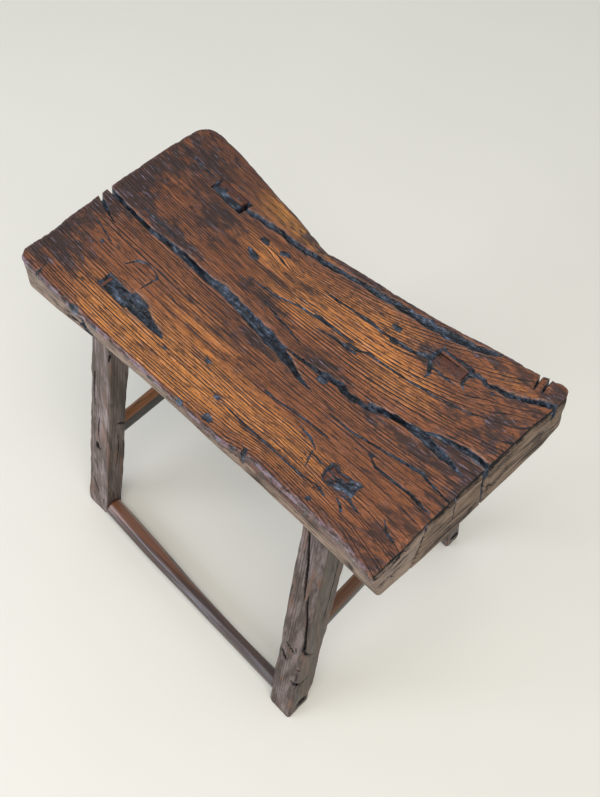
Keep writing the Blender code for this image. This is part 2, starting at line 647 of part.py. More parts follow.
def main():
    clear_scene()
    stool = new_collection("oak_stool")
    cutters = new_collection("oak_stool_cutters")
    waxed = finish("waxed_oak_top", WAXED_TOP)
    aged = finish("aged_oak_leg", AGED_LEG)
    rubbed = finish("rubbed_oak_rail", RUBBED_RAIL)
    dark = finish("dark_oak_wedge", DARK_WEDGE)

    legs = {name: Leg(name) for name in LEG_SHARES}
    seat = build_seat(stool, waxed)
    shafts = {}
    for name, leg in legs.items():
        shafts[name] = build_leg(leg, stool, aged)
        cut(seat, mortise_cutter(leg, cutters))
    for name, (depth, stations) in SPLIT_SHARES.items():
        cut(seat, split_cutter(name, depth, stations, cutters))

    build_end_wedge(legs["front_left"], stool, dark)
    for name in ("front_right", "back_left"):
        build_kerf_wedge(legs[name], stool, dark)
        cut(shafts[name], kerf_cutter(legs[name], cutters))
    build_shim(legs["back_right"], stool, dark)
    cut(shafts["front_right"], leg_split_cutter(legs["front_right"], cutters))

    rails = [RoundRail(side, legs[side + "_left"], legs[side + "_right"]) for side in ("front", "back")]
    rails += [FlatRail(side, legs["front_" + side], legs["back_" + side]) for side in ("left", "right")]
    for rail in rails:
        rail.build(stool, rubbed)
        for leg in rail.legs:
            cut(shafts[leg.name], rail.hole(leg, cutters))


main()
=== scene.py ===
"""Looks of the rustic oak stool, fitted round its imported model: slab, legs, stretchers and wedges."""

from math import pi

import bmesh
import bpy
import numpy as np
from mathutils import Matrix, Vector, noise


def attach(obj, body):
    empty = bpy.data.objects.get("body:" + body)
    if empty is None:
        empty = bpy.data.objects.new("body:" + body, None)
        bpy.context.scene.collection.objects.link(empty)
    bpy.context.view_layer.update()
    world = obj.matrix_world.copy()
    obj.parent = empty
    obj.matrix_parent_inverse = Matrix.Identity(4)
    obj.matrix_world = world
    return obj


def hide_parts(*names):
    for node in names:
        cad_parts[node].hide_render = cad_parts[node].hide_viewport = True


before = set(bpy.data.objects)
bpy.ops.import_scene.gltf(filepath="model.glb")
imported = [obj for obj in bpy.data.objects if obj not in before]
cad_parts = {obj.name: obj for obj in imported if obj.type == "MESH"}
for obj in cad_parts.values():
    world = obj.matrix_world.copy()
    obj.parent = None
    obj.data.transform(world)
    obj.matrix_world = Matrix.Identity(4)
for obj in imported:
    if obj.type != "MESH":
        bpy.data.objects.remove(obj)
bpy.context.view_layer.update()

# The slab is one thick board of oak, dished along its length and worn by long use. Its outline
# is hewn, its far side has an uneven waist with a waney bevel, and drying has opened long splits
# in it, now packed with black wax and dirt. Their black is also painted shade on the deep walls,
# and a bluish reflection is painted on the wax.
MILLIMETRE = 0.001
SEAT_LENGTH = 0.502
SEAT_WIDTH = 0.268
SEAT_HEIGHT = 0.490
SEAT_THICKNESS = 0.050
DISH_DEPTH = 0.029
END_RAKE = 0.013
ARRIS_WEAR = 0.006
WANE_DEPTH = 0.012
CORNER_ROUND = 0.016
ARRIS_ROUND = 0.0028
NEAR_WEAR_SHARE = 0.7
BOTTOM_ROUND = 0.003
HALF_LENGTH = SEAT_LENGTH / 2
HALF_WIDTH = SEAT_WIDTH / 2
UNDERSIDE = SEAT_HEIGHT - SEAT_THICKNESS
FRONT_EDGE_SHARES = ((-1.0, 1.01), (-0.80, 1.0), (-0.55, 0.97), (-0.30, 0.945), (0.0, 0.94),
                     (0.40, 0.935), (0.75, 0.94), (1.0, 0.945))
BACK_EDGE_SHARES = ((-1.0, 0.965), (-0.80, 0.97), (-0.55, 0.95), (-0.40, 0.91), (-0.28, 0.87),
                    (-0.20, 0.825), (-0.12, 0.85), (0.0, 0.88), (0.22, 0.92), (0.42, 0.965),
                    (0.58, 1.0), (0.75, 1.01), (0.90, 1.035), (1.0, 1.055))
LEFT_END_SHARES = ((-1.0, 0.98), (-0.6, 0.985), (0.1, 0.998), (0.6, 0.996), (1.0, 0.985))
RIGHT_END_SHARES = ((-1.0, 0.965), (-0.6, 0.98), (0.0, 0.992), (0.7, 1.001), (1.0, 0.99))
RAKE_SHARES = ((-1.0, 0.6), (-0.5, 0.9), (0.0, 1.0), (0.6, 0.9), (1.0, 0.3))
CORNER_SHARES = {(-1, -1): 0.75, (-1, 1): 1.5, (1, 1): 1.0, (1, -1): 0.3}
ARRIS_WEAR_SHARES = ((-1.0, 0.0), (0.16, 0.0), (0.30, 1.0), (0.55, 0.8), (0.78, 0.5),
                     (1.0, -1.0))
WANE_SHARES = ((-1.0, 0.0), (-0.80, 0.3), (-0.55, 1.0), (-0.25, 1.0), (-0.08, 0.5), (0.1, 0.35),
               (0.5, 0.3), (0.7, 0.0), (1.0, 0.0))
WANE_START_SHARE = 0.62

# Mesh of the slab: how many columns and rows, and where along the slab the columns crowd
SEAT_COLUMNS = 280
SEAT_ROWS = 240
COLUMN_SHARES = ((0.0, -1.0), (0.029, -0.965), (0.121, -0.77), (0.321, -0.47), (0.632, 0.40),
                 (0.818, 0.68), (0.971, 0.965), (1.0, 1.0))
ROW_SHARES = ((0.0, -1.0), (0.025, -0.985), (0.335, -0.23), (0.640, 0.19), (0.975, 0.985), (1.0, 1.0))
WALL_LEVEL_SHARES = (0.985, 0.96, 0.925, 0.88, 0.83, 0.77, 0.70, 0.63, 0.56, 0.49, 0.42, 0.34, 0.26,
                     0.18, 0.11, 0.06, 0.02, 0.0)

# Each split, in millimetres: places along and across, width there and depth
SPLITS = (
    ((-256, -11.5, 6, 14), (-248, -12.5, 5, 14), (-229, -13, 4, 13), (-212, -13, 4.2, 11),
     (-204, -13.3, 4.8, 5), (-185, -13.5, 5.6, 4), (-166, -10.5, 6.2, 4), (-146, -8, 7, 6),
     (-137, -7.5, 7.4, 12), (-122, -7, 7.2, 11), (-114, -8, 8.5, 6), (-101, -8, 8.8, 5), (-83, -5, 9, 5),
     (-65, -7, 9.8, 5), (-50, -8, 11.2, 6), (-23, -10, 11.8, 7), (-7, -12, 11.8, 7), (6, -14, 10.5, 6),
     (24, -18, 8, 5), (38, -23, 5.8, 4), (52, -26, 3.4, 3), (62, -27, 1.2, 1)),
    ((-256, -24, 6.2, 11), (-249, -25, 5, 10), (-240, -28, 3.8, 7), (-223, -34, 2.8, 4),
     (-213, -36, 1.2, 1)),
    ((4, -8, 1.2, 1), (26, -7, 3, 3), (52, -5, 5.2, 4), (76, -2, 7, 5), (89, -6, 7, 5), (113, -3, 4.6, 4),
     (127, -2, 1.2, 1)),
    ((106, 1, 1.2, 2), (114, 2, 4.4, 8), (123, 3, 6, 11), (136, 5, 6.4, 10), (146, 7, 6.6, 6),
     (160, 7, 7.2, 5), (174, 7, 8, 5), (195, 3, 7.8, 5), (211, 0, 5.6, 4), (227, -4, 1.4, 1)),
    ((155, 9, 1.4, 1), (170, 12, 3, 3), (184, 17, 5, 4), (194, 18, 5.6, 5), (214, 21, 6.4, 6),
     (226, 20, 6.6, 8), (238, 19, 7, 12), (256, 18, 7.6, 15)),
    ((163, 98, 2.2, 2), (179, 93, 4.8, 5), (186, 95, 5.8, 6), (202, 97, 6, 8), (219, 104, 6, 10),
     (231, 110, 6.6, 12), (240, 112.5, 6.8, 13), (256, 113, 7, 14)),
    ((209, 146, 3, 12), (210.5, 130, 2.8, 10), (213.5, 119, 1.8, 3)),
    ((218.5, 146, 3, 12), (219.5, 130, 2.8, 10), (222, 119, 1.8, 3)),
    ((150, -41, 1, 1), (161, -47, 2.2, 2), (182, -48, 2.7, 3), (203, -48, 2.6, 3), (217, -51, 3, 3),
     (229, -52, 1.2, 1)),
    ((91, -32.5, 1.2, 1), (120, -33.5, 2, 1), (153, -29.1, 2.2, 2), (197.5, -23.9, 3.6, 3),
     (204, -26.5, 2.8, 3), (234, -32.4, 1.4, 1)),
    ((203, -82, 1, 1), (212, -90, 2.2, 2), (227, -96, 1, 1)),
    ((-223, 84, 1, 1), (-206, 83, 2, 2), (-189, 85, 1, 1)),
    ((-149, 80, 3, 2), (-134, 83, 5.6, 3), (-117, 86, 7.4, 4), (-97, 90, 8, 5), (-77, 91, 8, 5),
     (-64, 93, 8, 5), (-52, 96, 7.6, 5), (-39, 97, 7, 4), (-21, 101, 6.2, 4), (-2, 104, 6, 4),
     (16, 107, 7, 4), (41, 110, 8, 4), (67, 113, 9, 4), (91, 116, 10, 4), (113, 119, 10.4, 4),
     (136, 122, 9.6, 4), (151, 126, 7, 3), (166, 131, 3.6, 2)),
    ((-131, -82, 16, 4.5), (-120, -85, 15, 5), (-108, -86, 10.5, 4), (-95, -87.2, 7, 3),
     (-82, -88.5, 1.8, 1)),
    ((-79, 25.3, 1.2, 0.6), (-45, 28.4, 1.9, 1), (-17, 37.6, 2.2, 2), (-2, 39.3, 2.6, 2), (5, 41.7, 4.6, 2),
     (14.5, 42.4, 4.4, 2), (22, 42.8, 2, 1), (39.6, 43.4, 1.9, 1), (55, 43.1, 1, 0.5)),
    ((-50.5, 16.3, 1, 0.5), (-24.6, 12, 2, 1), (-9.2, 10.8, 1.9, 1), (15, 4.7, 1, 0.5)),
    ((-13, 69.5, 1.4, 1), (-4, 70.1, 2.8, 2), (21, 72.1, 2.4, 2), (44, 74.5, 3.6, 2), (60, 73.5, 2.4, 1),
     (78, 74.6, 3.4, 2), (99, 76.6, 4, 3), (113, 80.6, 3.4, 2)),
    ((13, 30.6, 1.2, 0.6), (34, 34.6, 3.4, 2), (50, 35, 3.2, 2), (62, 35.1, 1.4, 1)),
    ((47.5, 39.3, 1.6, 1), (60, 40, 3.2, 2), (70, 44.5, 2, 1), (93.5, 45.4, 1.8, 1), (125, 47.1, 2, 1),
     (148, 49.3, 1.8, 1), (193, 57, 1, 0.5)),
    ((-209, -0.9, 1, 0.5), (-186, 0.3, 1.8, 1), (-163, 1, 1, 0.5)),
    ((-228, -47.3, 1.2, 0.6), (-212, -50.6, 2, 1), (-195, -54.8, 1.2, 0.6)),
    ((68, -132, 6, 12), (65, -123, 5.6, 10), (62, -115.5, 3.6, 4)),
    ((55, -130, 4.4, 5), (51.5, -122.5, 3, 2)),
    ((9, -95.9, 1, 0.5), (38, -96.9, 1.8, 1), (66, -97.3, 2, 1), (87, -98.2, 1.9, 1), (114, -99.2, 1.9, 1),
     (141, -96.9, 1.2, 0.6)),
    ((29, -57.4, 1.2, 0.6), (45, -57.2, 1.9, 1), (64, -55.1, 1.8, 1), (80, -53.7, 1.9, 1),
     (111, -53.5, 1, 0.5)),
    ((134, -97, 1.2, 0.5), (141.4, -98.3, 2.4, 1), (149.3, -100.7, 1.2, 0.5)),
    ((158, -94.5, 1.4, 0.5), (163.4, -97.2, 2.2, 1), (169.7, -101.7, 2.4, 1)),
    ((168.1, -88.1, 2.2, 1), (172.4, -90.5, 1.8, 1), (179.3, -92.9, 2.4, 1), (184.3, -93.1, 1.2, 0.5)),
    ((-217, -136, 2.4, 2), (-218.5, -123, 1.6, 1), (-219, -116, 0.8, 0.5)),
    ((105, 80.5, 2, 1), (113, 82.2, 4.8, 2), (119, 82, 3.6, 2)),
    ((128.5, 60, 1.2, 0.5), (128.5, 67, 3.8, 1), (123.2, 74.4, 4.6, 2), (118.5, 81.9, 4.2, 2),
     (116.8, 89.5, 3.4, 1), (118, 97, 3, 1), (120.3, 101.5, 4, 2)),
    ((119, 98.5, 3, 1), (127.7, 99.6, 3.4, 1), (136.6, 99.4, 2.6, 1), (148.9, 99.9, 2.8, 1),
     (157, 99.2, 1.8, 1)),
    ((124.2, 74.4, 3.4, 1), (135.1, 74.1, 2.4, 1), (144.8, 72.7, 2.4, 1), (152, 72.4, 1.4, 0.5)),
    ((157.7, 99, 2.4, 1), (159.2, 88.4, 2.4, 1), (159.2, 78, 2.6, 1), (165.5, 74, 1.2, 0.5)),
    ((160, 91, 3.6, 2), (164.5, 95.5, 5, 2), (173, 95.5, 4.6, 3)),
    ((-171, -60, 1.2, 0.8), (-165, -47, 2.2, 1), (-157, -42.5, 1.8, 1), (-145, -43, 1.2, 0.6),
     (-137, -46, 2, 1), (-139, -67, 1.2, 0.6)),
    ((80, -62, 1.2, 0.5), (95, -64, 2.6, 1), (109, -70.4, 1.4, 0.5)),
    ((108, -73, 1.2, 0.5), (110.8, -81.5, 2, 0.8), (114.9, -90.3, 1.2, 0.5)),
    ((108, -74.6, 1.2, 0.5), (124, -77.7, 2, 0.8)),
)

# Drying splits in the right end's face, in millimetres: places across and up, width and depth
END_SPLITS = (
    ((18.5, 490, 11, 9), (18, 480, 7.6, 8), (14, 470, 4.6, 7), (10, 460, 3.4, 5), (8.5, 452, 3, 4),
     (7.5, 440, 2.4, 3)),
    ((8, 441, 1.4, 2), (17, 449, 2, 2), (21, 453, 1, 1)),
    ((-56, 486, 1.2, 1), (-60, 480, 2.2, 3), (-70, 465, 2.4, 3), (-80, 452, 2.2, 3), (-89, 440, 1.6, 2)),
    ((-130, 481, 2.6, 3), (-123, 483, 2.4, 3), (-117, 482, 1, 1)),
    ((-116, 462, 1, 1), (-109, 456, 1.8, 2), (-104, 448, 1, 1)),
    ((113, 489, 6, 10), (112.5, 478, 4, 6), (106, 470, 2.2, 3), (100, 462, 1, 1)),
    ((56, 472, 1, 1), (45, 467, 1.8, 2), (33, 465, 1, 1)),
    ((-20, 480, 1, 1), (-27, 469, 1.8, 2), (-31, 456, 1, 1)),
    ((90, 460, 1, 1), (78, 456, 1.6, 2), (64, 456, 1, 1)),
)

# Drying splits in the near side's face, in millimetres: places along and up, width and depth
NEAR_SPLITS = (
    ((-182, 456, 1.4, 1), (-170, 452, 4, 3), (-156, 448, 6.6, 5), (-145, 445, 4.4, 3), (-136, 443, 1.4, 1)),
    ((-156, 474, 4, 5), (-157, 462, 5.6, 6), (-153, 450, 5.6, 6)),
    ((-30, 452, 0.8, 1), (20, 450, 1.8, 2), (70, 451, 0.8, 1)),
    ((90, 455, 0.8, 1), (130, 457, 1.8, 2), (170, 460, 0.8, 1)),
)

# Knots and dents, in millimetres: place along and across, radius and depth. Rings bend round
# the first few, which are knots.
KNOTS = 4
DENTS = MILLIMETRE * np.array((
    (-101, 69, 5, 1.6), (-95, 50, 6, 0.8), (-76, 72, 3.4, 1.2), (-69, 74, 2.6, 1.2), (70, 88, 4, 0.8),
    (78, 75, 3, 1), (60, -10, 5, 0.8), (150, -40, 3, 0.8), (-166, -131, 4, 3), (-138, -134, 5, 2.5),
    (13, -117.5, 4.6, 3), (-60, -127, 3, 2), (-20, -124, 3, 2), (100, -122, 4, 2), (3, -95, 2.6, 1.2),
    (-33, -74, 2.2, 1), (-73, -94, 2.4, 1), (140, -112, 3, 1.2), (-205, -60, 2.2, 0.8),
))

# Broad patches: place and reach along and across in millimetres, and strength
PATCH_UNITS = (MILLIMETRE, MILLIMETRE, MILLIMETRE, MILLIMETRE, 1.0)
WARM_PATCHES = (
    (-110, -105, 90, 26, 1), (-20, -90, 80, 30, 0.8), (-70, -45, 70, 20, 0.55), (30, 60, 90, 34, 0.55),
    (70, 90, 60, 16, 0.42), (-20, 40, 60, 22, 0.5), (100, -85, 60, 26, 0.7), (190, -80, 40, 30, 0.1),
    (-85, 112, 40, 8, 1), (-85, 60, 40, 16, 0.6), (120, 40, 50, 26, 0.6), (190, 112, 30, 12, 0.5),
    (-85, -118, 60, 10, 0.3),
)
DARK_PATCHES = (
    (-240, 0, 30, 100, 0.65), (-212, -98, 34, 30, 0.5), (-200, 100, 50, 40, 0.5), (-150, 50, 40, 30, 0.55),
    (-190, 0, 50, 22, 0.4), (-10, -24, 60, 9, 0.6), (50, 4, 40, 12, 0.6), (140, -10, 60, 12, 0.5),
    (200, 6, 40, 20, 0.5), (215, 60, 22, 22, 0.5), (238, -40, 16, 60, 0.4), (-70, 108, 60, 10, 0.4),
    (150, 120, 60, 8, 0.5), (115, 83, 18, 16, 0.9), (10, 114, 80, 8, 0.6), (-250, -100, 12, 40, 0.5),
    (-50, 18, 45, 16, 0.6), (235, 118, 12, 16, 0.5), (-150, -2, 30, 10, 0.5),
)
AMBER_PATCHES = (
    (-120, 112, 22, 14, 0.8), (-85, 110, 26, 10, 1), (-55, 110, 18, 8, 0.8),
)

# Layers of noise on the wax, the top and the sides: height, stretch and seed of each. Rings
# drift by such layers too, counted in rings, and each layer of chips has a stretch and a seed.
WAX_LUMPS = ((0.0012, (130.0, 210.0, 1.0), 21.0), (0.0009, (300.0, 420.0, 1.0), 9.0))
SEAT_SWAY = ((0.0006, (9.0, 22.0, 1.0), 2.0), (0.0003, (30.0, 90.0, 1.0), 4.0))
SIDE_CHOPS = ((0.0009, (16.0, 16.0, 60.0), 31.0), (0.00025, (45.0, 45.0, 150.0), 37.0))
RING_DRIFT = ((1.1, (2.5, 75.0, 1.0), 19.0), (0.2, (16.0, 60.0, 1.0), 7.0))
ARRIS_CHIPS = ((34.0, 11.0), (120.0, 5.0))
CHOP_DROP = 0.0006

# Distances to the nearest split are counted in its own widths: FAR where there is none, then
# where its wall, its raised lip and its wax lie. Below them are the mouths of the mortises.
FAR = 2.0
SPLIT_RAGGED = 0.22
SPLIT_WALL = (0.30, 0.60)
LIP_BAND = (0.90, 0.62)
LIP_SPLIT_WIDTH = 0.006
LIP_HEIGHT = 0.0008
WAX_BAND = (0.66, 0.48)
MOUTH_WALL = 0.0012
MOUTH_EDGE = 0.0040
MOUTH_STAIN = (-0.0040, -0.0005)

# Growth rings: their width on the top, the right end and the near side, how they fan out and
# bend round knots, and where the heart of the end's arcs lies
RING_WIDTH = 0.0031
BACK_FAN = 1.15
BACK_FAN_BAND = (-0.02, 0.08)
END_FAN = 3.0
END_FAN_START = 0.05
KNOT_REACHES = (4.0, 2.6)
KNOT_PULL = 0.55
GRAIN_GROOVE = 0.00050
SURFACE_DROP = 0.0007
END_HEART = (-0.020, 0.290)
END_RING_WIDTH = 0.0021
SIDE_RING_WIDTH = 0.0045

# Bands of tone: the broken ledge of the right end, with a painted shadow under its arris, and
# the pale block there; where the near side turns from pale, partly painted light, to brown; and the
# rubbed rim of the arris and its crest, which carries a painted highlight
END_CLEFT = (-0.056, 0.486, 0.72)
SHADOWED_LEDGE_BAND = (0.85, 0.89)
LEDGE_DEPTH = 0.0020
NEAR_TURN = (-0.10, 0.02)
PLAIN_END = (0.240, 0.230)
RIM_BAND = (0.0060, 0.0010)
CREST_HIGHLIGHT_BAND = (0.0026, 0.0012)


def read_share(table, place):
    places, shares = zip(*table)
    return np.interp(place, places, shares)


def smooth_step(low, high, value):
    share = np.clip((value - low) / (high - low), 0.0, 1.0)
    return share * share * (3.0 - 2.0 * share)


def rough(points, stretch, seed=0.0):
    """Smooth noise from -1 to 1 at points, finer along an axis the more it is stretched."""
    return np.array([noise.noise(Vector(row)) for row in points * stretch + seed])


def relief(points, layers):
    """Sum of layers of noise, each with its height, stretch and seed."""
    return sum(height * rough(points, stretch, seed) for height, stretch, seed in layers)


def grow_walls(bm, levels):
    """Draws the open rim of a mesh on, one row of faces for each level, and closes the end."""
    rim = [edge for edge in bm.edges if edge.is_boundary]
    for level in levels:
        grown = bmesh.ops.extrude_edge_only(bm, edges=rim)["geom"]
        rim = [item for item in grown if isinstance(item, bmesh.types.BMEdge) and item.is_boundary]
        for vert in {vert for edge in rim for vert in edge.verts}:
            vert.co.z = level
    bmesh.ops.edgeloop_fill(bm, edges=rim)


def make_piece(name, bm, points, marks):
    """Gives each vertex its place, and keeps the marks that the finish reads as attributes."""
    for vert, point in zip(bm.verts, points):
        vert.co = point
    bmesh.ops.recalc_face_normals(bm, faces=bm.faces)
    mesh = bpy.data.meshes.new(name)
    bm.to_mesh(mesh)
    bm.free()
    mesh.polygons.foreach_set("use_smooth", [True] * len(mesh.polygons))
    for key, values in marks.items():
        mark = mesh.attributes.new(key, "FLOAT", "POINT")
        mark.data.foreach_set("value", np.asarray(values, dtype=np.float32))
    piece = bpy.data.objects.new(name, mesh)
    bpy.context.scene.collection.objects.link(piece)
    return piece


def round_corners(x, y, half_x, half_y, radii):
    """Draws the corners of a rectangle of points in to arcs, inner points with them."""
    for (side_x, side_y), radius in radii.items():
        out_x, out_y = side_x * x - (half_x - radius), side_y * y - (half_y - radius)
        share = np.maximum(out_x, out_y) / np.maximum(np.hypot(out_x, out_y), 1e-9)
        inside = (out_x > 0) & (out_y > 0)
        x = np.where(inside, side_x * (half_x - radius + out_x * share), x)
        y = np.where(inside, side_y * (half_y - radius + out_y * share), y)
    return x, y


def edge_distance(x, y, half_x, half_y, radii):
    """Distance in from the rim of the rounded rectangle."""
    reach = np.full(len(x), 1.0)
    for (side_x, side_y), radius in radii.items():
        out_x, out_y = side_x * x - (half_x - radius), side_y * y - (half_y - radius)
        corner = radius - np.hypot(np.maximum(out_x, 0), np.maximum(out_y, 0))
        reach = np.minimum(reach, corner - np.minimum(np.maximum(out_x, out_y), 0))
    return np.maximum(reach, 0.0)


def top_height(x, y):
    along = np.minimum(np.abs(x) / HALF_LENGTH, 1.0)
    bevel = np.maximum(y / HALF_WIDTH - WANE_START_SHARE, 0.0) / (1.0 - WANE_START_SHARE)
    wane = WANE_DEPTH * bevel * read_share(WANE_SHARES, x / HALF_LENGTH)
    return SEAT_HEIGHT - DISH_DEPTH * (1.0 - along ** 2) - wane


def hew_outline(x, y, height):
    """Plan of the slab at a share of its thickness: its ends, waist, rake and worn arris."""
    along, across = x / HALF_LENGTH, y / HALF_WIDTH
    edge = np.where(across > 0, read_share(BACK_EDGE_SHARES, along), read_share(FRONT_EDGE_SHARES, along))
    end = np.where(along > 0, read_share(RIGHT_END_SHARES, across), read_share(LEFT_END_SHARES, across))
    rake = END_RAKE * read_share(RAKE_SHARES, across)
    wear = ARRIS_WEAR * height * read_share(ARRIS_WEAR_SHARES, along) * across ** 2
    return x * end - rake * height * np.maximum(along, 0.0) ** 3, y * edge + np.where(across < 0, wear, 0.0)


def split_depth(x, y, ragged, splits):
    """Depth of the splits at each point, the distance to the nearest in widths, and their lips."""
    depth, nearest, lip = np.zeros(len(x)), np.full(len(x), FAR), np.zeros(len(x))
    for stations in splits:
        stations = np.multiply(stations, MILLIMETRE)
        for (x0, y0, w0, d0), (x1, y1, w1, d1) in zip(stations, stations[1:]):
            run_x, run_y = x1 - x0, y1 - y0
            share = np.clip(((x - x0) * run_x + (y - y0) * run_y) / (run_x ** 2 + run_y ** 2), 0, 1)
            gap = np.hypot(x - x0 - share * run_x, y - y0 - share * run_y)
            width, deep = w0 + share * (w1 - w0), d0 + share * (d1 - d0)
            reach = (gap + SPLIT_RAGGED * ragged * width) / width
            depth = np.maximum(depth, deep * (1.0 - smooth_step(*SPLIT_WALL, reach)))
            nearest = np.minimum(nearest, reach)
            wide = np.minimum(width / LIP_SPLIT_WIDTH, 1.0)
            lip = np.maximum(lip, smooth_step(*LIP_BAND, reach) * wide)
    return depth, nearest, lip * smooth_step(0.5, 0.62, nearest)


def patches(x, y, rows):
    total = np.zeros(len(x))
    for px, py, reach_x, reach_y, strength in np.multiply(rows, PATCH_UNITS):
        total += strength * np.exp(-((x - px) / reach_x) ** 2 - ((y - py) / reach_y) ** 2)
    return np.clip(total, 0.0, 1.0)


def ring_count(x, y, flat):
    """Number of growth rings crossed: they fan out towards the right end and round the knots."""
    fan = BACK_FAN * smooth_step(*BACK_FAN_BAND, y) * x
    fan = fan + END_FAN * np.maximum(x - END_FAN_START, 0.0) ** 2
    across = y * (1.0 - fan)
    for knot_x, knot_y, radius in DENTS[:KNOTS, :3]:
        off = y - knot_y
        reach_x, reach_y = np.multiply(KNOT_REACHES, radius)
        across -= KNOT_PULL * off * np.exp(-((x - knot_x) / reach_x) ** 2 - (off / reach_y) ** 2)
    return across / RING_WIDTH + 1.3 * rough(flat, (5.0, 15.0, 1.0)) + relief(flat, RING_DRIFT)


# Legs are set out before the slab is cut for them, because its mortises follow their splay.
END_MARGIN = 0.100
SIDE_MARGIN = 0.050
SPLAY_LENGTH = 0.036
SPLAY_WIDTH = 0.074
LEG_SIZE = 0.037
TENON_WIDTH = 0.018
WEDGE_ROOM = 0.007
WEDGE_FOOT_GAP = 0.0012
WEDGE_TAPER_SHARE = 0.55
KERF_WIDTH = 0.0032
SHIM_ROOM = 0.003
JOINT_GAP = 0.0003
SHOULDER = UNDERSIDE - JOINT_GAP
TENON_HALF_SPANS = (HALF_LENGTH - END_MARGIN, HALF_WIDTH - SIDE_MARGIN)
FOOT_HALF_SPANS = (TENON_HALF_SPANS[0] + SPLAY_LENGTH, TENON_HALF_SPANS[1] + SPLAY_WIDTH)
# Each leg's foot and tenon, as shares of the half spans; its section under the seat and the
# offset of its tenon, as shares of the leg size; then shares of its tenon's length and width,
# of the room for wedges at the tenon's two ends, and of the room for a shim behind it
LEG_SHARES = {
    "front_left": (
        (-1.032, -0.908), (-1.007, -1.024), (0.98, 0.85), (0.09, 0.07), (0.80, 0.95), (0.8, 0.7), 0.0),
    "front_right": (
        (0.964, -1.0), (0.987, -0.952), (1.05, 1.03), (0.04, 0.0), (0.84, 1.05), (0.3, 0.3), 0.0),
    "back_left": (
        (-1.027, 1.011), (-1.10, 0.976), (1.08, 0.89), (0.0, 0.0), (0.925, 1.1), (0.15, 0.9), 0.0),
    "back_right": (
        (0.920, 0.980), (0.914, 1.036), (1.0, 0.90), (0.0, 0.0), (0.95, 0.75), (0.15, 0.15), 1.0),
}
# Each leg's girth: share of the height, then shares of its width and its depth
GIRTH_SHARES = {
    "front_left": ((0.0, 1.03, 0.85), (0.012, 1.11, 0.92), (0.12, 1.10, 0.93), (0.35, 1.06, 0.95),
                   (0.60, 0.99, 0.98), (1.0, 1.0, 1.0)),
    "front_right": ((0.0, 0.90, 0.90), (0.02, 0.97, 0.97), (0.06, 0.95, 0.95), (0.13, 1.05, 0.96),
                    (0.20, 1.04, 0.98), (0.28, 0.99, 1.0), (0.60, 1.0, 1.01), (1.0, 1.0, 1.0)),
    "back_left": ((0.0, 0.98, 0.90), (0.012, 1.05, 0.98), (0.20, 1.05, 1.0), (0.55, 1.01, 1.02),
                  (1.0, 1.0, 1.0)),
    "back_right": ((0.0, 0.95, 0.72), (0.02, 1.02, 0.80), (0.25, 1.04, 0.92), (0.60, 1.01, 0.98),
                   (1.0, 1.0, 1.0)),
}
# How each tenon's end sits in the seat: its depth and roughness, the depth of the mortise's mouth
# round it, how ragged that mouth is, and how much black wax covers it
TENON_ENDS = {
    "front_left": (0.0030, 0.0008, 0.0042, 0.0012, 1.0),
    "front_right": (0.0014, 0.0011, 0.0022, 0.0030, 0.62),
    "back_left": (0.0008, 0.0004, 0.0140, 0.0005, 0.35),
    "back_right": (0.0005, 0.0006, 0.0030, 0.0008, 0.20),
}


class Leg:
    """Setting out of one leg, from the slab, the splay and the leg size."""

    def __init__(self, name):
        foot, head, section, offset, tenon, room, back_room = LEG_SHARES[name]
        self.name = name
        self.foot = np.append(np.multiply(foot, FOOT_HALF_SPANS), 0.0)
        head = np.multiply(head, TENON_HALF_SPANS)
        self.head = np.append(head, top_height(*head))
        self.width, self.depth = np.multiply(section, LEG_SIZE)
        self.tenon_length, self.tenon_width = np.multiply(tenon, (self.width, TENON_WIDTH))
        self.room = np.multiply(room, WEDGE_ROOM)
        self.back_room = back_room * SHIM_ROOM
        self.sink, self.crumble, self.mouth, self.ragged, self.wax = TENON_ENDS[name]
        self.shaft_top = self.tenon_centre(SHOULDER) - np.append(np.multiply(offset, LEG_SIZE), 0.0)

    def tenon_centre(self, z):
        return self.foot + (self.head - self.foot) * (np.asarray(z)[..., None] / self.head[2])

    def centre(self, z):
        return self.foot + (self.shaft_top - self.foot) * (np.asarray(z)[..., None] / SHOULDER)

    def half_size(self, z):
        heights, widths, depths = zip(*GIRTH_SHARES[self.name])
        share = np.asarray(z) / SHOULDER
        return (self.width / 2 * np.interp(share, heights, widths),
                self.depth / 2 * np.interp(share, heights, depths))

    def in_mortise(self, x, y):
        """How far inside the mortise's mouth each point is."""
        low_x = x - self.head[0] + self.tenon_length / 2 + self.room[0]
        high_x = self.head[0] + self.tenon_length / 2 + self.room[1] - x
        low_y = y - self.head[1] + self.tenon_width / 2
        high_y = self.head[1] + self.tenon_width / 2 + self.back_room - y
        return np.minimum(np.minimum(low_x, high_x), np.minimum(low_y, high_y))


legs = {name: Leg(name) for name in LEG_SHARES}

# The slab's mesh is a fine sheet drawn down into walls, then hewn, dished, split and mortised.
bm = bmesh.new()
bmesh.ops.create_grid(bm, x_segments=SEAT_COLUMNS, y_segments=SEAT_ROWS, size=1.0,
                      matrix=Matrix.Translation((0, 0, 1)))
grow_walls(bm, WALL_LEVEL_SHARES)
unit = np.array([vert.co for vert in bm.verts])
level = unit[:, 2]
plain_x = HALF_LENGTH * read_share(COLUMN_SHARES, (unit[:, 0] + 1) / 2)
plain_y = HALF_WIDTH * read_share(ROW_SHARES, (unit[:, 1] + 1) / 2)
radii = {corner: CORNER_ROUND * share for corner, share in CORNER_SHARES.items()}
plain_x, plain_y = round_corners(plain_x, plain_y, HALF_LENGTH, HALF_WIDTH, radii)
flat = np.stack((plain_x, plain_y, np.zeros(len(plain_x))), axis=1)
inward = edge_distance(plain_x, plain_y, HALF_LENGTH, HALF_WIDTH, radii)

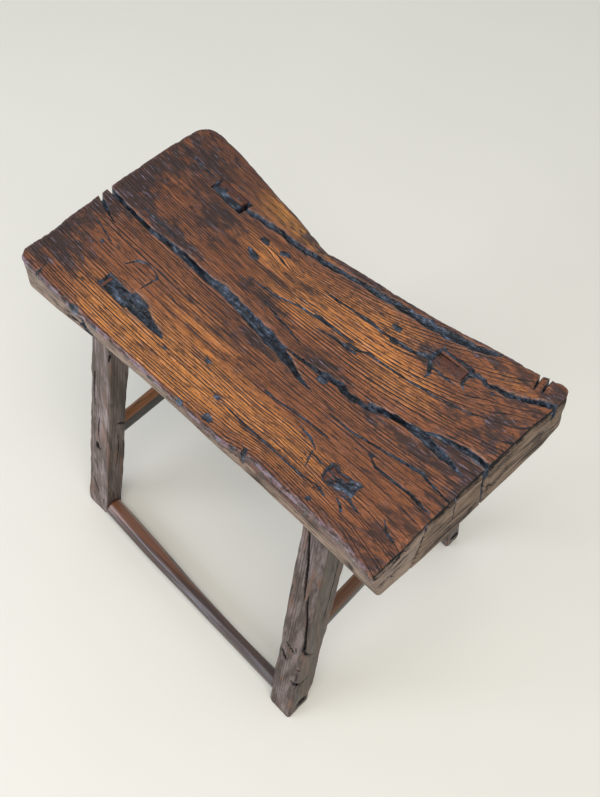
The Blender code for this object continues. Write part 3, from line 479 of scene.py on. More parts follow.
fine = rough(flat, (95.0, 210.0, 1.0), 3.0)
coarse = rough(flat, (70.0, 110.0, 1.0), 13.0)
rings = ring_count(plain_x, plain_y, flat)
chips = sum(np.maximum(rough(flat, (stretch, stretch, 1.0), seed), 0.0)
            for stretch, seed in ARRIS_CHIPS)
near_wear = 1.0 + NEAR_WEAR_SHARE * smooth_step(0.0, -HALF_WIDTH, plain_y)
worn = ARRIS_ROUND * (0.75 + 1.3 * chips) * near_wear
arris = worn - np.sqrt(np.maximum(worn ** 2 - np.maximum(worn - inward, 0.0) ** 2, 0.0))

seat_x, seat_y = hew_outline(plain_x, plain_y, 1.0)
depth, nearest, lip = split_depth(seat_x, seat_y, fine + 0.6 * coarse, SPLITS)
stain = patches(seat_x, seat_y, DARK_PATCHES)
warm = patches(seat_x, seat_y, WARM_PATCHES)
for dent_x, dent_y, radius, deep in DENTS:
    near = np.exp(-((seat_x - dent_x) / (1.5 * radius)) ** 2 - ((seat_y - dent_y) / radius) ** 2)
    depth = np.maximum(depth, deep * near)
    stain = np.maximum(stain, 0.5 * near)
    nearest = np.minimum(nearest, 1.10 - near - 0.55 * coarse - 0.4 * fine)
for leg in legs.values():
    inside = leg.in_mortise(seat_x, seat_y) + leg.ragged * (0.6 * fine + 0.7 * coarse)
    depth = np.maximum(depth, leg.mouth * smooth_step(0.0, MOUTH_WALL, inside))
    nearest = np.minimum(nearest, 0.5 - inside / MOUTH_EDGE)
    stain = np.maximum(stain, 0.35 * smooth_step(*MOUTH_STAIN, inside))
floor = smooth_step(*WAX_BAND, nearest)
phase = rings - np.floor(rings)
groove = smooth_step(0.55, 0.85, phase) * (1.0 - smooth_step(0.90, 1.0, phase))
raised = LIP_HEIGHT * lip * smooth_step(-0.2, 0.5, coarse) + floor * relief(flat, WAX_LUMPS)
top = top_height(seat_x, seat_y) - SURFACE_DROP - arris - depth + raised + relief(flat, SEAT_SWAY)
top = np.minimum(top - GRAIN_GROOVE * groove * (1.0 - floor), SEAT_HEIGHT - SURFACE_DROP)

seat_x, seat_y = hew_outline(plain_x, plain_y, level)
seat_z = UNDERSIDE + level * (top - UNDERSIDE)
drop = np.maximum(BOTTOM_ROUND - (seat_z - UNDERSIDE), 0.0)
tuck = BOTTOM_ROUND - np.sqrt(np.maximum(BOTTOM_ROUND ** 2 - drop ** 2, 0.0))
solid = np.stack((seat_x, seat_y, seat_z), axis=1)
hewn = np.minimum(relief(solid, SIDE_CHOPS) - CHOP_DROP, 0.0) * smooth_step(1.0, 0.93, level)
facing_x, facing_y = [np.abs(unit[:, axis]) >= 1.0 - 1e-6 for axis in (0, 1)]
right_end = facing_x & (unit[:, 0] > 0)
near_side = facing_y & (unit[:, 1] < 0)
waver = 0.03 * coarse + 0.02 * fine
# Painted shadow: the band under the right end's overhanging arris is cut in a little and painted black
shadowed_ledge = right_end * smooth_step(*SHADOWED_LEDGE_BAND, level + 1.5 * waver)
end_cut, end_near, _ = split_depth(seat_y, seat_z, fine, END_SPLITS)
side_cut, side_near, _ = split_depth(seat_x, seat_z, fine, NEAR_SPLITS)
cut = (level < 1.0) * (end_cut * right_end + side_cut * near_side) + LEDGE_DEPTH * shadowed_ledge
shift = hewn - tuck - cut
seat_x = seat_x + np.where(facing_x, np.sign(unit[:, 0]) * shift, 0.0)
seat_y = seat_y + np.where(facing_y, np.sign(unit[:, 1]) * shift, 0.0)
turned = smooth_step(*NEAR_TURN, plain_x)
band = level + waver + 0.20 * near_side * turned
side = np.where(facing_x, smooth_step(1.0, 0.975, level), smooth_step(0.86, 0.77, band))
wall_near = np.where(right_end, end_near, np.where(near_side, side_near, FAR))
wall_near = np.minimum(wall_near, nearest + FAR * smooth_step(0.86, 0.62, level))
nearest = np.where(level < 1.0, wall_near, nearest)
rubbed = smooth_step(*PLAIN_END, plain_x)
rim = smooth_step(*RIM_BAND, inward) * rubbed
rim = np.where(level < 1.0, smooth_step(0.74, 0.84, band) * ~facing_x, rim)
# Painted highlight: a thin bright crest along the top of the rubbed arris
crest_highlight = smooth_step(*CREST_HIGHLIGHT_BAND, inward) * rubbed
crest_highlight = np.where(level < 1.0, smooth_step(0.97, 0.99, level) * ~facing_x, crest_highlight)
arcs = np.hypot(seat_y - END_HEART[0], seat_z - END_HEART[1]) / END_RING_WIDTH + 0.8 * coarse
rings = np.where(facing_x & (level < 1.0), arcs, rings)
side_lines = seat_z / SIDE_RING_WIDTH + 1.5 * rough(solid, (5.0, 5.0, 20.0), 43.0)
rings = np.where(facing_y & ~facing_x & (level < 1.0), side_lines, rings)
cleft = seat_y - END_CLEFT[0] - (seat_z - END_CLEFT[1]) * END_CLEFT[2]
# Partly painted light: the near face is painted paler, most towards its left end, partly its own weathered
# tone
near_pale_and_lit = near_side * (0.9 - 0.6 * turned)
pale_block_and_lit_near = (level < 1.0) * (right_end * smooth_step(0.0010, -0.0010, cleft) + near_pale_and_lit)
seat_piece = make_piece("dished_slab", bm, np.stack((seat_x, seat_y, seat_z), axis=1), {
    "grain": rings, "split": np.clip(nearest, 0.0, FAR), "stain": stain, "warm": warm,
    "side": side * (level < 1.0), "shadowed_ledge": shadowed_ledge, "amber": patches(seat_x, seat_y, AMBER_PATCHES),
    "lip": lip * (level >= 1.0), "arris": rim, "crest_highlight": crest_highlight, "pale_and_lit_mark": pale_block_and_lit_near})


class Socket:
    """An output in a material's node tree; arithmetic on it adds Math nodes."""

    def __init__(self, tree, output=None):
        self.tree, self.output = tree, output

    def node(self, kind, inputs=None, settings=None, out=0):
        item = self.tree.nodes.new(kind)
        for key, value in (settings or {}).items():
            setattr(item, key, value)
        for key, value in (inputs or {}).items():
            if isinstance(value, Socket):
                self.tree.links.new(value.output, item.inputs[key])
            else:
                item.inputs[key].default_value = value
        return Socket(self.tree, item.outputs[out])

    def math(self, operation, *values):
        return self.node("ShaderNodeMath", dict(enumerate(values)), {"operation": operation})

    def __add__(self, other):
        return self.math("ADD", self, other)

    def __radd__(self, other):
        return self.math("ADD", other, self)

    def __sub__(self, other):
        return self.math("SUBTRACT", self, other)

    def __rsub__(self, other):
        return self.math("SUBTRACT", other, self)

    def __mul__(self, other):
        return self.math("MULTIPLY", self, other)

    def __rmul__(self, other):
        return self.math("MULTIPLY", other, self)

    def smooth(self, low, high):
        """0 below low, 1 above high and a soft step between them."""
        return self.node("ShaderNodeMapRange", {"Value": self, "From Min": low, "From Max": high},
                         {"interpolation_type": "SMOOTHSTEP"})

    def cloud(self, stretch, detail=3.0, seed=0.0):
        """Noise at this place, finer along an axis the more it is stretched."""
        place = self.node("ShaderNodeVectorMath", {0: self, 1: stretch, 2: (seed, seed, seed)},
                          {"operation": "MULTIPLY_ADD"})
        return self.node("ShaderNodeTexNoise", {"Vector": place, "Scale": 1.0, "Detail": detail,
                                                "Roughness": 0.6})

    def tone(self):
        """A value from 0 to 1 that is the same all along one growth ring."""
        return self.node("ShaderNodeTexWhiteNoise", {"W": self.math("FLOOR", self)},
                         {"noise_dimensions": "1D"})

    def bump(self, strength, distance):
        """The surface's direction, where this is its height."""
        return self.node("ShaderNodeBump", {"Height": self, "Strength": strength, "Distance": distance},
                         out="Normal")

    def paint(self, under, over):
        """A colour laid over another where this mask is 1."""
        colours = {key: value if isinstance(value, Socket) else (*value, 1.0)
                   for key, value in ((6, under), (7, over))}
        return self.node("ShaderNodeMix", {0: self, **colours}, {"data_type": "RGBA"}, out=2)

    def coats(self, *masks_and_colours):
        """This colour with others laid over it in turn, each where its mask is 1."""
        colour = self
        for mask, over in masks_and_colours:
            colour = mask.paint(colour, over)
        return colour


def new_finish(name):
    """A material, its shader, the place on the piece and a reader of the piece's own marks."""
    material = bpy.data.materials.new(name)
    material.use_nodes = True
    tree = material.node_tree
    place = Socket(tree).node("ShaderNodeTexCoord", out="Object")

    def mark(key):
        return place.node("ShaderNodeAttribute", settings={"attribute_name": key}, out="Fac")

    return material, tree, place, mark


def wax_and_sheen_colour(place, crumbs, stretch, slate_end):
    """Black wax, with a painted bluish reflection: slate in places and blue on its highest crumbs."""
    sheen = place.cloud(stretch, 2.0, 67.0)
    wax = (0.6 * sheen + 0.4 * crumbs).smooth(0.42, slate_end).paint(WAX_AND_SHADE_BLACK, WAX_SLATE_SHEEN)
    return (0.5 * sheen + 0.5 * crumbs).smooth(0.55, 0.68).paint(wax, WAX_BLUE_SHEEN)


def connect(tree, links):
    shader = tree.nodes["Principled BSDF"]
    for key, value in links.items():
        if isinstance(value, Socket):
            tree.links.new(value.output, shader.inputs[key])
        else:
            shader.inputs[key].default_value = value


HONEY = (0.640, 0.225, 0.042)
AMBER = (0.620, 0.240, 0.034)
CHESTNUT = (0.270, 0.085, 0.026)
UMBER = (0.062, 0.024, 0.014)
PLUM = (0.036, 0.018, 0.015)
RIM_RED = (0.125, 0.040, 0.026)
LINE_BLACK = (0.008, 0.007, 0.008)
GLINT_HIGHLIGHT = (0.640, 0.420, 0.320)
LILAC_SHEEN = (0.290, 0.225, 0.300)
WAX_AND_SHADE_BLACK = (0.006, 0.007, 0.010)
WAX_SLATE_SHEEN = (0.050, 0.066, 0.098)
WAX_BLUE_SHEEN = (0.200, 0.240, 0.330)
LIP_HIGHLIGHT_PINK = (0.340, 0.165, 0.100)
SIDE_GREY = (0.275, 0.188, 0.128)
SIDE_PALE = (0.370, 0.268, 0.205)
SIDE_BROWN = (0.115, 0.068, 0.042)
SIDE_DARK = (0.022, 0.014, 0.011)

material, tree, place, mark = new_finish("waxed_oak_top_worn")
keys = ("grain", "split", "stain", "warm", "amber", "side", "shadowed_ledge", "lip", "arris", "crest_highlight", "pale_and_lit_mark")
grain, split, stained, warmth, amber, side, shadowed_ledge, lip, arris, crest_highlight, pale_and_lit_mark = [mark(key) for key in keys]
split = 1.0 - split.smooth(0.50, 0.60)
face = 1.0 - side
along = place.node("ShaderNodeSeparateXYZ", {0: place})
ends = along.smooth(0.09, 0.21) + 0.5 * along.smooth(-0.19, -0.235)
grimy = along.smooth(0.165, 0.235)
ring_tone = grain.tone()
broken = place.cloud((46.0, 330.0, 1.0), 4.0)
ragged = place.cloud((70.0, 520.0, 1.0), 3.0, 41.0)
faded = place.cloud((11.0, 34.0, 1.0), 2.0, 47.0)
phase = place.math("FRACT", grain + 0.26 * ragged)
line = (phase - 0.22 * ring_tone).smooth(0.42, 0.52) * (1.0 - phase.smooth(0.88, 0.97))
line_strength = (0.95 * ring_tone + broken + 0.5 * faded - 0.28 * ends).smooth(0.80, 1.10)
lines = line * line_strength * face
# Painted highlight: a pale band just before each dark ring line, as if its ridge caught the light
ridge_highlights = phase.smooth(0.08, 0.24) * (1.0 - phase.smooth(0.30, 0.46)) * line_strength * face
half_phase = place.math("FRACT", 2.0 * grain + ragged)
thin_lines = half_phase.smooth(0.70, 0.86) * (broken + 0.4 * faded).smooth(0.58, 0.72) * face
pores = place.cloud((60.0, 1000.0, 300.0), 3.0, 5.0).smooth(0.56, 0.62)
specks = place.cloud((150.0, 330.0, 150.0), 3.0, 53.0).smooth(0.66, 0.71)
# Fine streaks along the grain that carry the painted highlights and sheen
glint_highlights = place.cloud((70.0, 560.0, 80.0), 2.0, 61.0).smooth(0.56, 0.68)
streak = place.cloud((7.0, 110.0, 30.0), 5.0, 11.0)
cloudy = place.cloud((14.0, 26.0, 20.0), 4.0, 17.0)
mottle = place.cloud((90.0, 260.0, 90.0), 4.0, 23.0)
gold = (0.8 * warmth + 0.9 * streak + 0.25 * mottle - 0.3 * phase).smooth(0.60, 1.25)
blotch = place.cloud((55.0, 120.0, 60.0), 4.0, 71.0)
dirt = (0.7 * stained + 0.9 * blotch + 0.5 * mottle + 0.10 * grimy).smooth(0.92, 1.12) * 0.90
grubby = (blotch + 0.07 * ends + 0.07 * grimy + 0.10 * stained).smooth(0.58, 0.74)
colour = gold.paint(CHESTNUT, HONEY).coats(
    (amber * (0.6 + 0.8 * streak), AMBER),
    ((1.40 - streak - 0.6 * mottle).smooth(0.58, 0.90), UMBER),
    # Painted highlights on the ridges beside the ring lines
    ((glint_highlights * 0.7 + 0.3) * ridge_highlights * (0.15 + 0.5 * gold), GLINT_HIGHLIGHT),
    (dirt, PLUM),
    (grubby * 0.85, UMBER),
    # Painted sheen: lilac reflections in fine streaks, strongest on the dark patches
    (glint_highlights * (0.12 + 0.5 * dirt), LILAC_SHEEN),
    (pores * 0.85, PLUM),
    (thin_lines * 0.7, PLUM),
    (lines * 0.97, LINE_BLACK),
    (specks, PLUM),
    (arris * 0.9, mottle.smooth(0.40, 0.56).paint(PLUM, RIM_RED)),
    # Painted highlight along the crest of the arris
    (crest_highlight * (mottle + 0.6 * glint_highlights).smooth(0.46, 0.66) * 0.62, LILAC_SHEEN),
    # Painted highlight along the raised lips beside the splits
    (lip * (cloudy + 0.5 * mottle).smooth(0.62, 0.86) * 0.9, LIP_HIGHLIGHT_PINK))
layers = place.cloud((16.0, 16.0, 330.0), 2.0, 29.0)
grime = place.cloud((40.0, 40.0, 90.0), 5.0, 37.0)
side_phase = place.math("FRACT", grain + 0.9 * grime)
side_line = side_phase.smooth(0.55, 0.85) * (1.0 - side_phase.smooth(0.90, 1.0)) * grime.smooth(0.40, 0.56)
side_colour = layers.smooth(0.36, 0.62).paint(SIDE_BROWN, SIDE_GREY).coats(
    # Pale block of the right end, and the near face's paler tone, partly painted light
    (pale_and_lit_mark * 0.7, SIDE_PALE),
    (grime.smooth(0.50, 0.72), SIDE_BROWN),
    (side_line * 0.8, SIDE_DARK),
    (layers.smooth(0.42, 0.36) + grime.smooth(0.60, 0.67), SIDE_DARK))
colour = side.paint(colour, side_colour)
# Painted shadow: a black line under the right end's overhanging arris
colour = shadowed_ledge.paint(colour, LINE_BLACK)
# The splits, dents and mortise mouths are painted with black wax; this black is also painted shade on their
# deep walls, and the slate and blue crumbs are a painted reflection
crumbs = place.cloud((190.0, 260.0, 190.0), 4.0, 31.0)
colour = split.paint(colour, wax_and_sheen_colour(place, crumbs, (38.0, 130.0, 60.0), 0.60))
height = 0.6 * mottle + 0.8 * streak - 1.9 * lines - 0.5 * pores - 0.6 * thin_lines - specks
height = height + 2.6 * (crumbs * split) + (1.2 * layers - 0.8 * side_line) * side
gloss = 0.26 + 0.22 * mottle + 0.2 * lines + 0.4 * side - 0.10 * (arris * face) - 0.10 * split
connect(tree, {"Base Color": colour, "Roughness": gloss + 0.5 * shadowed_ledge, "Normal": height.bump(0.8, 0.0008),
               "Specular IOR Level": 0.5, "Coat Weight": (arris * 0.15 + 0.12) * face,
               "Coat Roughness": 0.12})
seat_piece.data.materials.append(material)
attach(seat_piece, "root")
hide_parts("seat")

# The legs are billets of oak, hewn square by hand and splayed both ways. Each has a flat tenon
# that runs through the slab. They are dry and grey, with painted shade under the seat, and drying
# cracks, painted black as shade, run down their faces.
TENON_ROUND = 0.001
LEG_ROUND = 0.005
FOOT_ROUND = 0.002
LEG_COLUMNS = 56
LEG_RINGS = 44
TENON_LEVELS = 6
SHAFT_LEVELS = 170
KERFED = ("front_right", "back_left")
KERF_DEPTH = 0.0022
KERF_WALL = 0.0006
# Drying splits by face, in millimetres: places across and up, width there and depth
LEG_SPLITS = {
    "front_right": {
        "front": (
            ((-9.2, 406, 1.2, 2), (-7.6, 385.3, 2.4, 6), (-3.9, 362.2, 3.2, 7), (-1.8, 338.4, 2.8, 7),
             (0.6, 302, 2.6, 6), (3, 281, 1, 2)),
            ((7.7, 294.8, 1, 2), (7.8, 277.8, 2.6, 6), (12.5, 254.5, 3.2, 7), (15.8, 212.5, 3, 6),
             (16.8, 193.2, 2.8, 5), (17.2, 183.9, 5.6, 5)),
            ((-12.1, 151, 2.6, 2), (-4.4, 136.1, 5, 4)),
            ((-7.4, 172.7, 2, 1), (0, 167, 4.4, 3), (5.2, 162.9, 3.4, 2)),
            ((6.1, 176, 1.8, 2), (7.7, 168.4, 2.4, 2)),
            ((9, 95, 3, 3), (13, 94, 5.6, 6), (19.6, 98, 6.4, 7)),
            ((14, 133.5, 2.4, 2), (18, 133.5, 2.4, 2)),
        ),
        "right": (
            ((-19, 98, 6.4, 7), (-14, 95, 5, 5), (-9.3, 94.3, 3, 3), (1.4, 96, 1, 1)),
            ((-19, 183.9, 5, 5), (-9.1, 165, 1.6, 2), (2.9, 151.1, 1, 1)),
            ((4, 230, 1, 1), (6, 300, 1.8, 3), (3, 370, 1, 1)),
        ),
    },
    "front_left": {
        "front": (
            ((-4.5, 173.9, 3.4, 2), (-1.9, 164, 7, 4), (3.2, 163.9, 3.4, 2)),
            ((-2, 190, 1, 1), (-1.5, 210, 1.8, 2), (0, 240, 1, 1)),
            ((15, 382.9, 3, 4), (14, 370, 1.4, 2)),
            ((-10, 330, 1.2, 1), (-11, 300, 2, 3), (-8, 260, 1, 1)),
            ((-9.2, 76, 1.2, 1), (1.9, 45.7, 1.8, 2)),
        ),
        "right": (
            ((-2.4, 231.7, 1.4, 2), (6, 224, 2.8, 3), (12.2, 217.5, 2, 2)),
            ((0, 120, 1, 1), (3, 170, 1.6, 2), (1, 200, 1, 1)),
        ),
    },
    "back_left": {
        "back": (
            ((0, 120, 1, 1), (4, 250, 2.4, 5), (2, 380, 1, 1)),
        ),
        "left": (
            ((0, 100, 1, 1), (3, 230, 2.2, 4), (1, 330, 1, 1)),
        ),
    },
    "back_right": {
        "back": (
            ((0, 90, 1, 1), (-4, 210, 2.4, 5), (-2, 340, 1, 1)),
        ),
        "right": (
            ((0, 60, 1, 1), (-3, 190, 2.2, 4), (0, 300, 1, 1)),
        ),
    },
}
# How pale the front and back faces are, how pale the two side faces are, and how tan these are:
# partly the wood's own tone, partly painted light and shade, face by face as the light falls
LEG_TONES_AND_LIGHT = {
    "front_left": (1.15, 0.15, 0.25), "front_right": (0.30, 0.25, 0.9),
    "back_left": (0.6, 0.5, 0.5), "back_right": (0.6, 0.5, 0.6),
}
# The round stretchers' tenons end inside holes in the outer faces: height there and offset
PEG_HOLES = {
    "front_left": (0.0170, -0.0025), "front_right": (0.0200, 0.0030),
    "back_left": (0.0200, 0.0025), "back_right": (0.0220, 0.0025),
}
PEG_HOLE_RADIUS = 0.0080
PEG_HOLE_WALL = 0.0016
PEG_HOLE_DEPTH = 0.0095
PEG_HOLE_RAGGED = 0.0006
# Marks on the legs: the end's chamfer, rounding and chop marks, rings, worn arrises, the painted
# shade under the slab and round the stretchers' shoulders, and the darkening just over the floor
TENON_GRIT = ((1.0, (130.0, 220.0, 1.0), 3.0), (0.6, (360.0, 420.0, 1.0), 0.0))
TENON_CHAMFER = (0.0008, 0.0015)
LEG_WEAR = ((0.5, (8.0, 8.0, 14.0), 3.0), (0.3, (20.0, 20.0, 60.0), 9.0))
LEG_CHOPS = ((0.0010, (55.0, 55.0, 7.0), 13.0), (0.0004, (170.0, 170.0, 22.0), 17.0),
             (0.0006, (22.0, 22.0, 45.0), 19.0))
LEG_CHOP_DROP = 0.0012
LEG_RING_WIDTH = 0.0032
TENON_RING_WIDTH = 0.0022
LEG_EDGE_BAND = (0.009, 0.003)
RAIL_SHADE_BAND = (0.020, 0.010)
SLAB_SHADE_REACH = 0.07
FOOT_DARK_HEIGHT = 0.02


def hew_leg(leg):
    """Fine mesh of one leg, from the tenon's end down to the foot."""
    bm = bmesh.new()
    bmesh.ops.create_grid(bm, x_segments=LEG_COLUMNS, y_segments=LEG_RINGS, size=1.0)
    grow_walls(bm, range(1, TENON_LEVELS + SHAFT_LEVELS + 3))
    unit = np.array([vert.co for vert in bm.verts])
    level = np.round(unit[:, 2])
    across, along = unit[:, 0], unit[:, 1]
    tenon = level <= TENON_LEVELS
    corners = [(sx, sy) for sx in (-1, 1) for sy in (-1, 1)]

    half_x, half_y = leg.tenon_length / 2, leg.tenon_width / 2
    radii = dict.fromkeys(corners, TENON_ROUND)
    tenon_x, tenon_y = round_corners(across * half_x, along * half_y, half_x, half_y, radii)
    end_x, end_y = leg.head[0] + tenon_x, leg.head[1] + tenon_y
    crown = top_height(end_x, end_y) - SURFACE_DROP - leg.sink
    tenon_z = crown + (SHOULDER - crown) * level / TENON_LEVELS
    spot = leg.tenon_centre(tenon_z)
    grit = relief(np.stack((end_x, end_y, np.zeros(len(end_x))), axis=1), TENON_GRIT)
    crumble = leg.crumble * grit
    if leg.name in KERFED:
        kerf = smooth_step(KERF_WIDTH / 2 + KERF_WALL, KERF_WIDTH / 2, np.abs(tenon_y))
        crumble -= KERF_DEPTH * kerf
    inward = edge_distance(across * half_x, along * half_y, half_x, half_y, radii)
    drop, reach = TENON_CHAMFER
    tenon_z = tenon_z + np.where(level == 0, crumble - drop * smooth_step(reach, 0.0, inward), 0.0)
    tenon_points = np.stack((spot[:, 0] + tenon_x, spot[:, 1] + tenon_y, tenon_z), axis=1)

    share = np.clip((level - TENON_LEVELS - 1) / SHAFT_LEVELS, 0.0, 1.0)
    z = SHOULDER * (1.0 - share)
    half_x, half_y = leg.half_size(z)
    foot = level > TENON_LEVELS + SHAFT_LEVELS + 1
    shaft_x, shaft_y = across * half_x, along * half_y
    ring = np.stack((shaft_x, shaft_y, z), axis=1) + leg.foot
    worn = LEG_ROUND * (1.0 + relief(ring, LEG_WEAR))
    shaft_x, shaft_y = round_corners(shaft_x, shaft_y, half_x, half_y, dict.fromkeys(corners, worn))
    inset = np.where(foot, FOOT_ROUND, 0.0) + LEG_CHOP_DROP - relief(ring, LEG_CHOPS)
    fine = rough(ring, (120.0, 120.0, 40.0), 23.0)
    faces = {"front": (along < -0.999, shaft_x), "back": (along > 0.999, shaft_x),
             "left": (across < -0.999, shaft_y), "right": (across > 0.999, shaft_y)}
    cuts = {face: np.zeros(len(z)) for face in faces}
    nearest = np.full(len(z), FAR)
    for face, splits in LEG_SPLITS[leg.name].items():
        facing, place = faces[face]
        deep, near, _ = split_depth(place, z, fine, splits)
        cuts[face] = deep * facing
        nearest = np.where(facing, np.minimum(nearest, near), nearest)
    outer, inner = ("left", "right") if leg.foot[0] < 0 else ("right", "left")
    facing, place = faces[outer]
    hole_height, hole_offset = PEG_HOLES[leg.name]
    gap = np.hypot(place - hole_offset, 1.35 * (z - hole_height)) + PEG_HOLE_RAGGED * fine
    hole = facing * smooth_step(PEG_HOLE_RADIUS, PEG_HOLE_RADIUS - PEG_HOLE_WALL, gap)
    cuts[outer] = np.maximum(cuts[outer], PEG_HOLE_DEPTH * hole)
    # The peg hole joins the cracks, so it is painted black as shade too
    nearest = np.where(facing, np.minimum(nearest, 0.47 * gap / PEG_HOLE_RADIUS), nearest)
    rail_shade = faces[inner][0] * smooth_step(*RAIL_SHADE_BAND, gap)
    edge = np.abs((half_x - np.abs(shaft_x)) - (half_y - np.abs(shaft_y)))
    edge = smooth_step(*LEG_EDGE_BAND, edge) * (np.maximum(np.abs(across), np.abs(along)) > 0.999)
    reach = np.maximum(np.hypot(shaft_x, shaft_y), 1e-6)
    shaft_x = shaft_x * (1.0 - inset / reach) - cuts["right"] + cuts["left"]
    shaft_y = shaft_y * (1.0 - inset / reach) + cuts["front"] - cuts["back"]
    spot = leg.centre(z)
    shaft_points = np.stack((spot[:, 0] + shaft_x, spot[:, 1] + shaft_y, z), axis=1)
    grain = (shaft_x + 0.8 * shaft_y) / LEG_RING_WIDTH + 1.2 * rough(ring, (20.0, 20.0, 4.0), 29.0)
    # Painted shade: darker under the slab and round the stretchers' shoulders, and darker near the floor
    painted_shade = 0.8 * smooth_step(SHOULDER - SLAB_SHADE_REACH, SHOULDER, z)
    painted_shade = np.maximum(painted_shade + 0.5 * smooth_step(FOOT_DARK_HEIGHT, 0.0, z), 1.1 * rail_shade)
    wax = leg.wax + 0.9 * (leg.name == "back_left") * smooth_step(0.001, -0.001, tenon_y) - 0.7 * grit
    front_pale_and_lit, side_pale_and_lit, side_tan = LEG_TONES_AND_LIGHT[leg.name]
    points = np.where(tenon[:, None], tenon_points, shaft_points)
    return make_piece("hewn_leg_" + leg.name, bm, points, {
        "grain": np.where(tenon, tenon_y / TENON_RING_WIDTH, grain), "end": tenon * 1.0,
        "crack_shade": np.where(tenon, FAR, np.clip(nearest, 0.0, FAR)), "painted_shade": np.where(tenon, 0.0, painted_shade),
        "pale_and_lit": np.where(np.abs(along) > 0.98, front_pale_and_lit, side_pale_and_lit), "edge": edge,
        "tan": (np.abs(along) < 0.98) * side_tan, "wax": np.where(level > 0, 1.0, wax)})


LEG_PALE = (0.295, 0.225, 0.218)
LEG_GREY = (0.112, 0.078, 0.064)
LEG_BROWN = (0.050, 0.030, 0.023)
LEG_RUST = (0.210, 0.105, 0.066)
LEG_TAN = (0.102, 0.081, 0.057)
LEG_BLACK = (0.008, 0.006, 0.006)
END_BROWN = (0.160, 0.048, 0.024)
material, tree, place, mark = new_finish("aged_oak_leg_grey")
keys = ("grain", "end", "crack_shade", "painted_shade", "pale_and_lit", "wax", "edge", "tan")
grain, end, crack_shade, painted_shade, pale_and_lit, waxed, edge, tan = [mark(key) for key in keys]
phase = place.math("FRACT", grain)
tone = grain.tone()
streak = place.cloud((130.0, 130.0, 9.0), 4.0, 3.0)
cloudy = place.cloud((26.0, 26.0, 12.0), 4.0, 9.0)
fibre = place.cloud((900.0, 900.0, 40.0), 3.0, 15.0)
line = phase.smooth(0.70, 0.90) * (1.0 - phase.smooth(0.94, 1.0)) * (tone + cloudy).smooth(0.75, 1.2)
rust = place.cloud((95.0, 95.0, 7.0), 3.0, 21.0)
smudge = place.cloud((110.0, 110.0, 17.0), 4.0, 33.0)
# The faces' paleness and tan are partly painted light: faces are painted paler or darker as the light falls
# on them
colour = (streak + 0.35 * pale_and_lit).smooth(0.35, 0.85).paint(LEG_BROWN, LEG_GREY).coats(
    ((streak + 0.5 * cloudy).smooth(0.66, 0.95) * (0.35 + 0.65 * pale_and_lit), LEG_PALE),
    (tan * (0.45 + 0.5 * cloudy), LEG_TAN),
    ((rust + 0.06 * edge).smooth(0.53, 0.68) * 0.6, LEG_RUST),
    ((smudge + 0.09 * edge).smooth(0.58, 0.70), LEG_BROWN),
    ((smudge + 0.09 * edge).smooth(0.69, 0.76), LEG_BLACK),
    # Painted shade under the slab and round the stretchers, and the darkening near the floor
    ((painted_shade + 0.7 * cloudy).smooth(0.50, 1.10), LEG_BROWN),
    (fibre.smooth(0.56, 0.72) * 0.5, LEG_BROWN),
    (line * 0.8, LEG_BLACK))
crumbs = place.cloud((190.0, 260.0, 190.0), 5.0, 31.0)
end_colour = fibre.smooth(0.42, 0.66).paint(END_BROWN, UMBER)
end_line = phase.smooth(0.50, 0.70) * (1.0 - phase.smooth(0.88, 1.0))
end_colour = (end_line * 0.9 + crumbs.smooth(0.56, 0.64)).paint(end_colour, PLUM)
# Black wax on the tenon ends, with a painted reflection in slate and blue on its crumbs
wax = wax_and_sheen_colour(place, crumbs, (60.0, 130.0, 60.0), 0.58)
end_colour = waxed.smooth(0.3, 0.8).paint(end_colour, wax)
colour = end.paint(colour, end_colour)
# Painted shade: the cracks and the peg holes are painted black
crack_shade = 1.0 - crack_shade.smooth(0.50, 0.64)
colour = crack_shade.paint(colour, LEG_BLACK)
height = 0.8 * streak + 0.5 * fibre - 1.4 * line - crack_shade + 2.5 * (crumbs * end)
connect(tree, {"Base Color": colour, "Roughness": 0.50 + 0.2 * fibre - 0.15 * end,
               "Normal": height.bump(0.8, 0.0006), "Specular IOR Level": 0.4})
for leg in legs.values():
    piece = hew_leg(leg)
    piece.data.materials.append(material)
    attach(piece, "root")
    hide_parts("leg_" + leg.name)

# Dark oak wedges spread the tenons in their mortises: one beside the near left tenon, one in the
# kerf of each of two more, and a thin packing strip behind the last. They are rough split slips.
SLIP_PALE = (0.180, 0.080, 0.045)
WEDGE_CUTS = 10
WEDGE_BEVEL = 0.0004
END_WEDGE_RISE = 0.0016
KERF_WEDGE_SINK = 0.0014
SHIM_SINK = 0.0001
SLIP_WOBBLE = 0.0002
SLIP_CRUMBLE = 0.0005
SLIP_RING_WIDTH = 0.0012


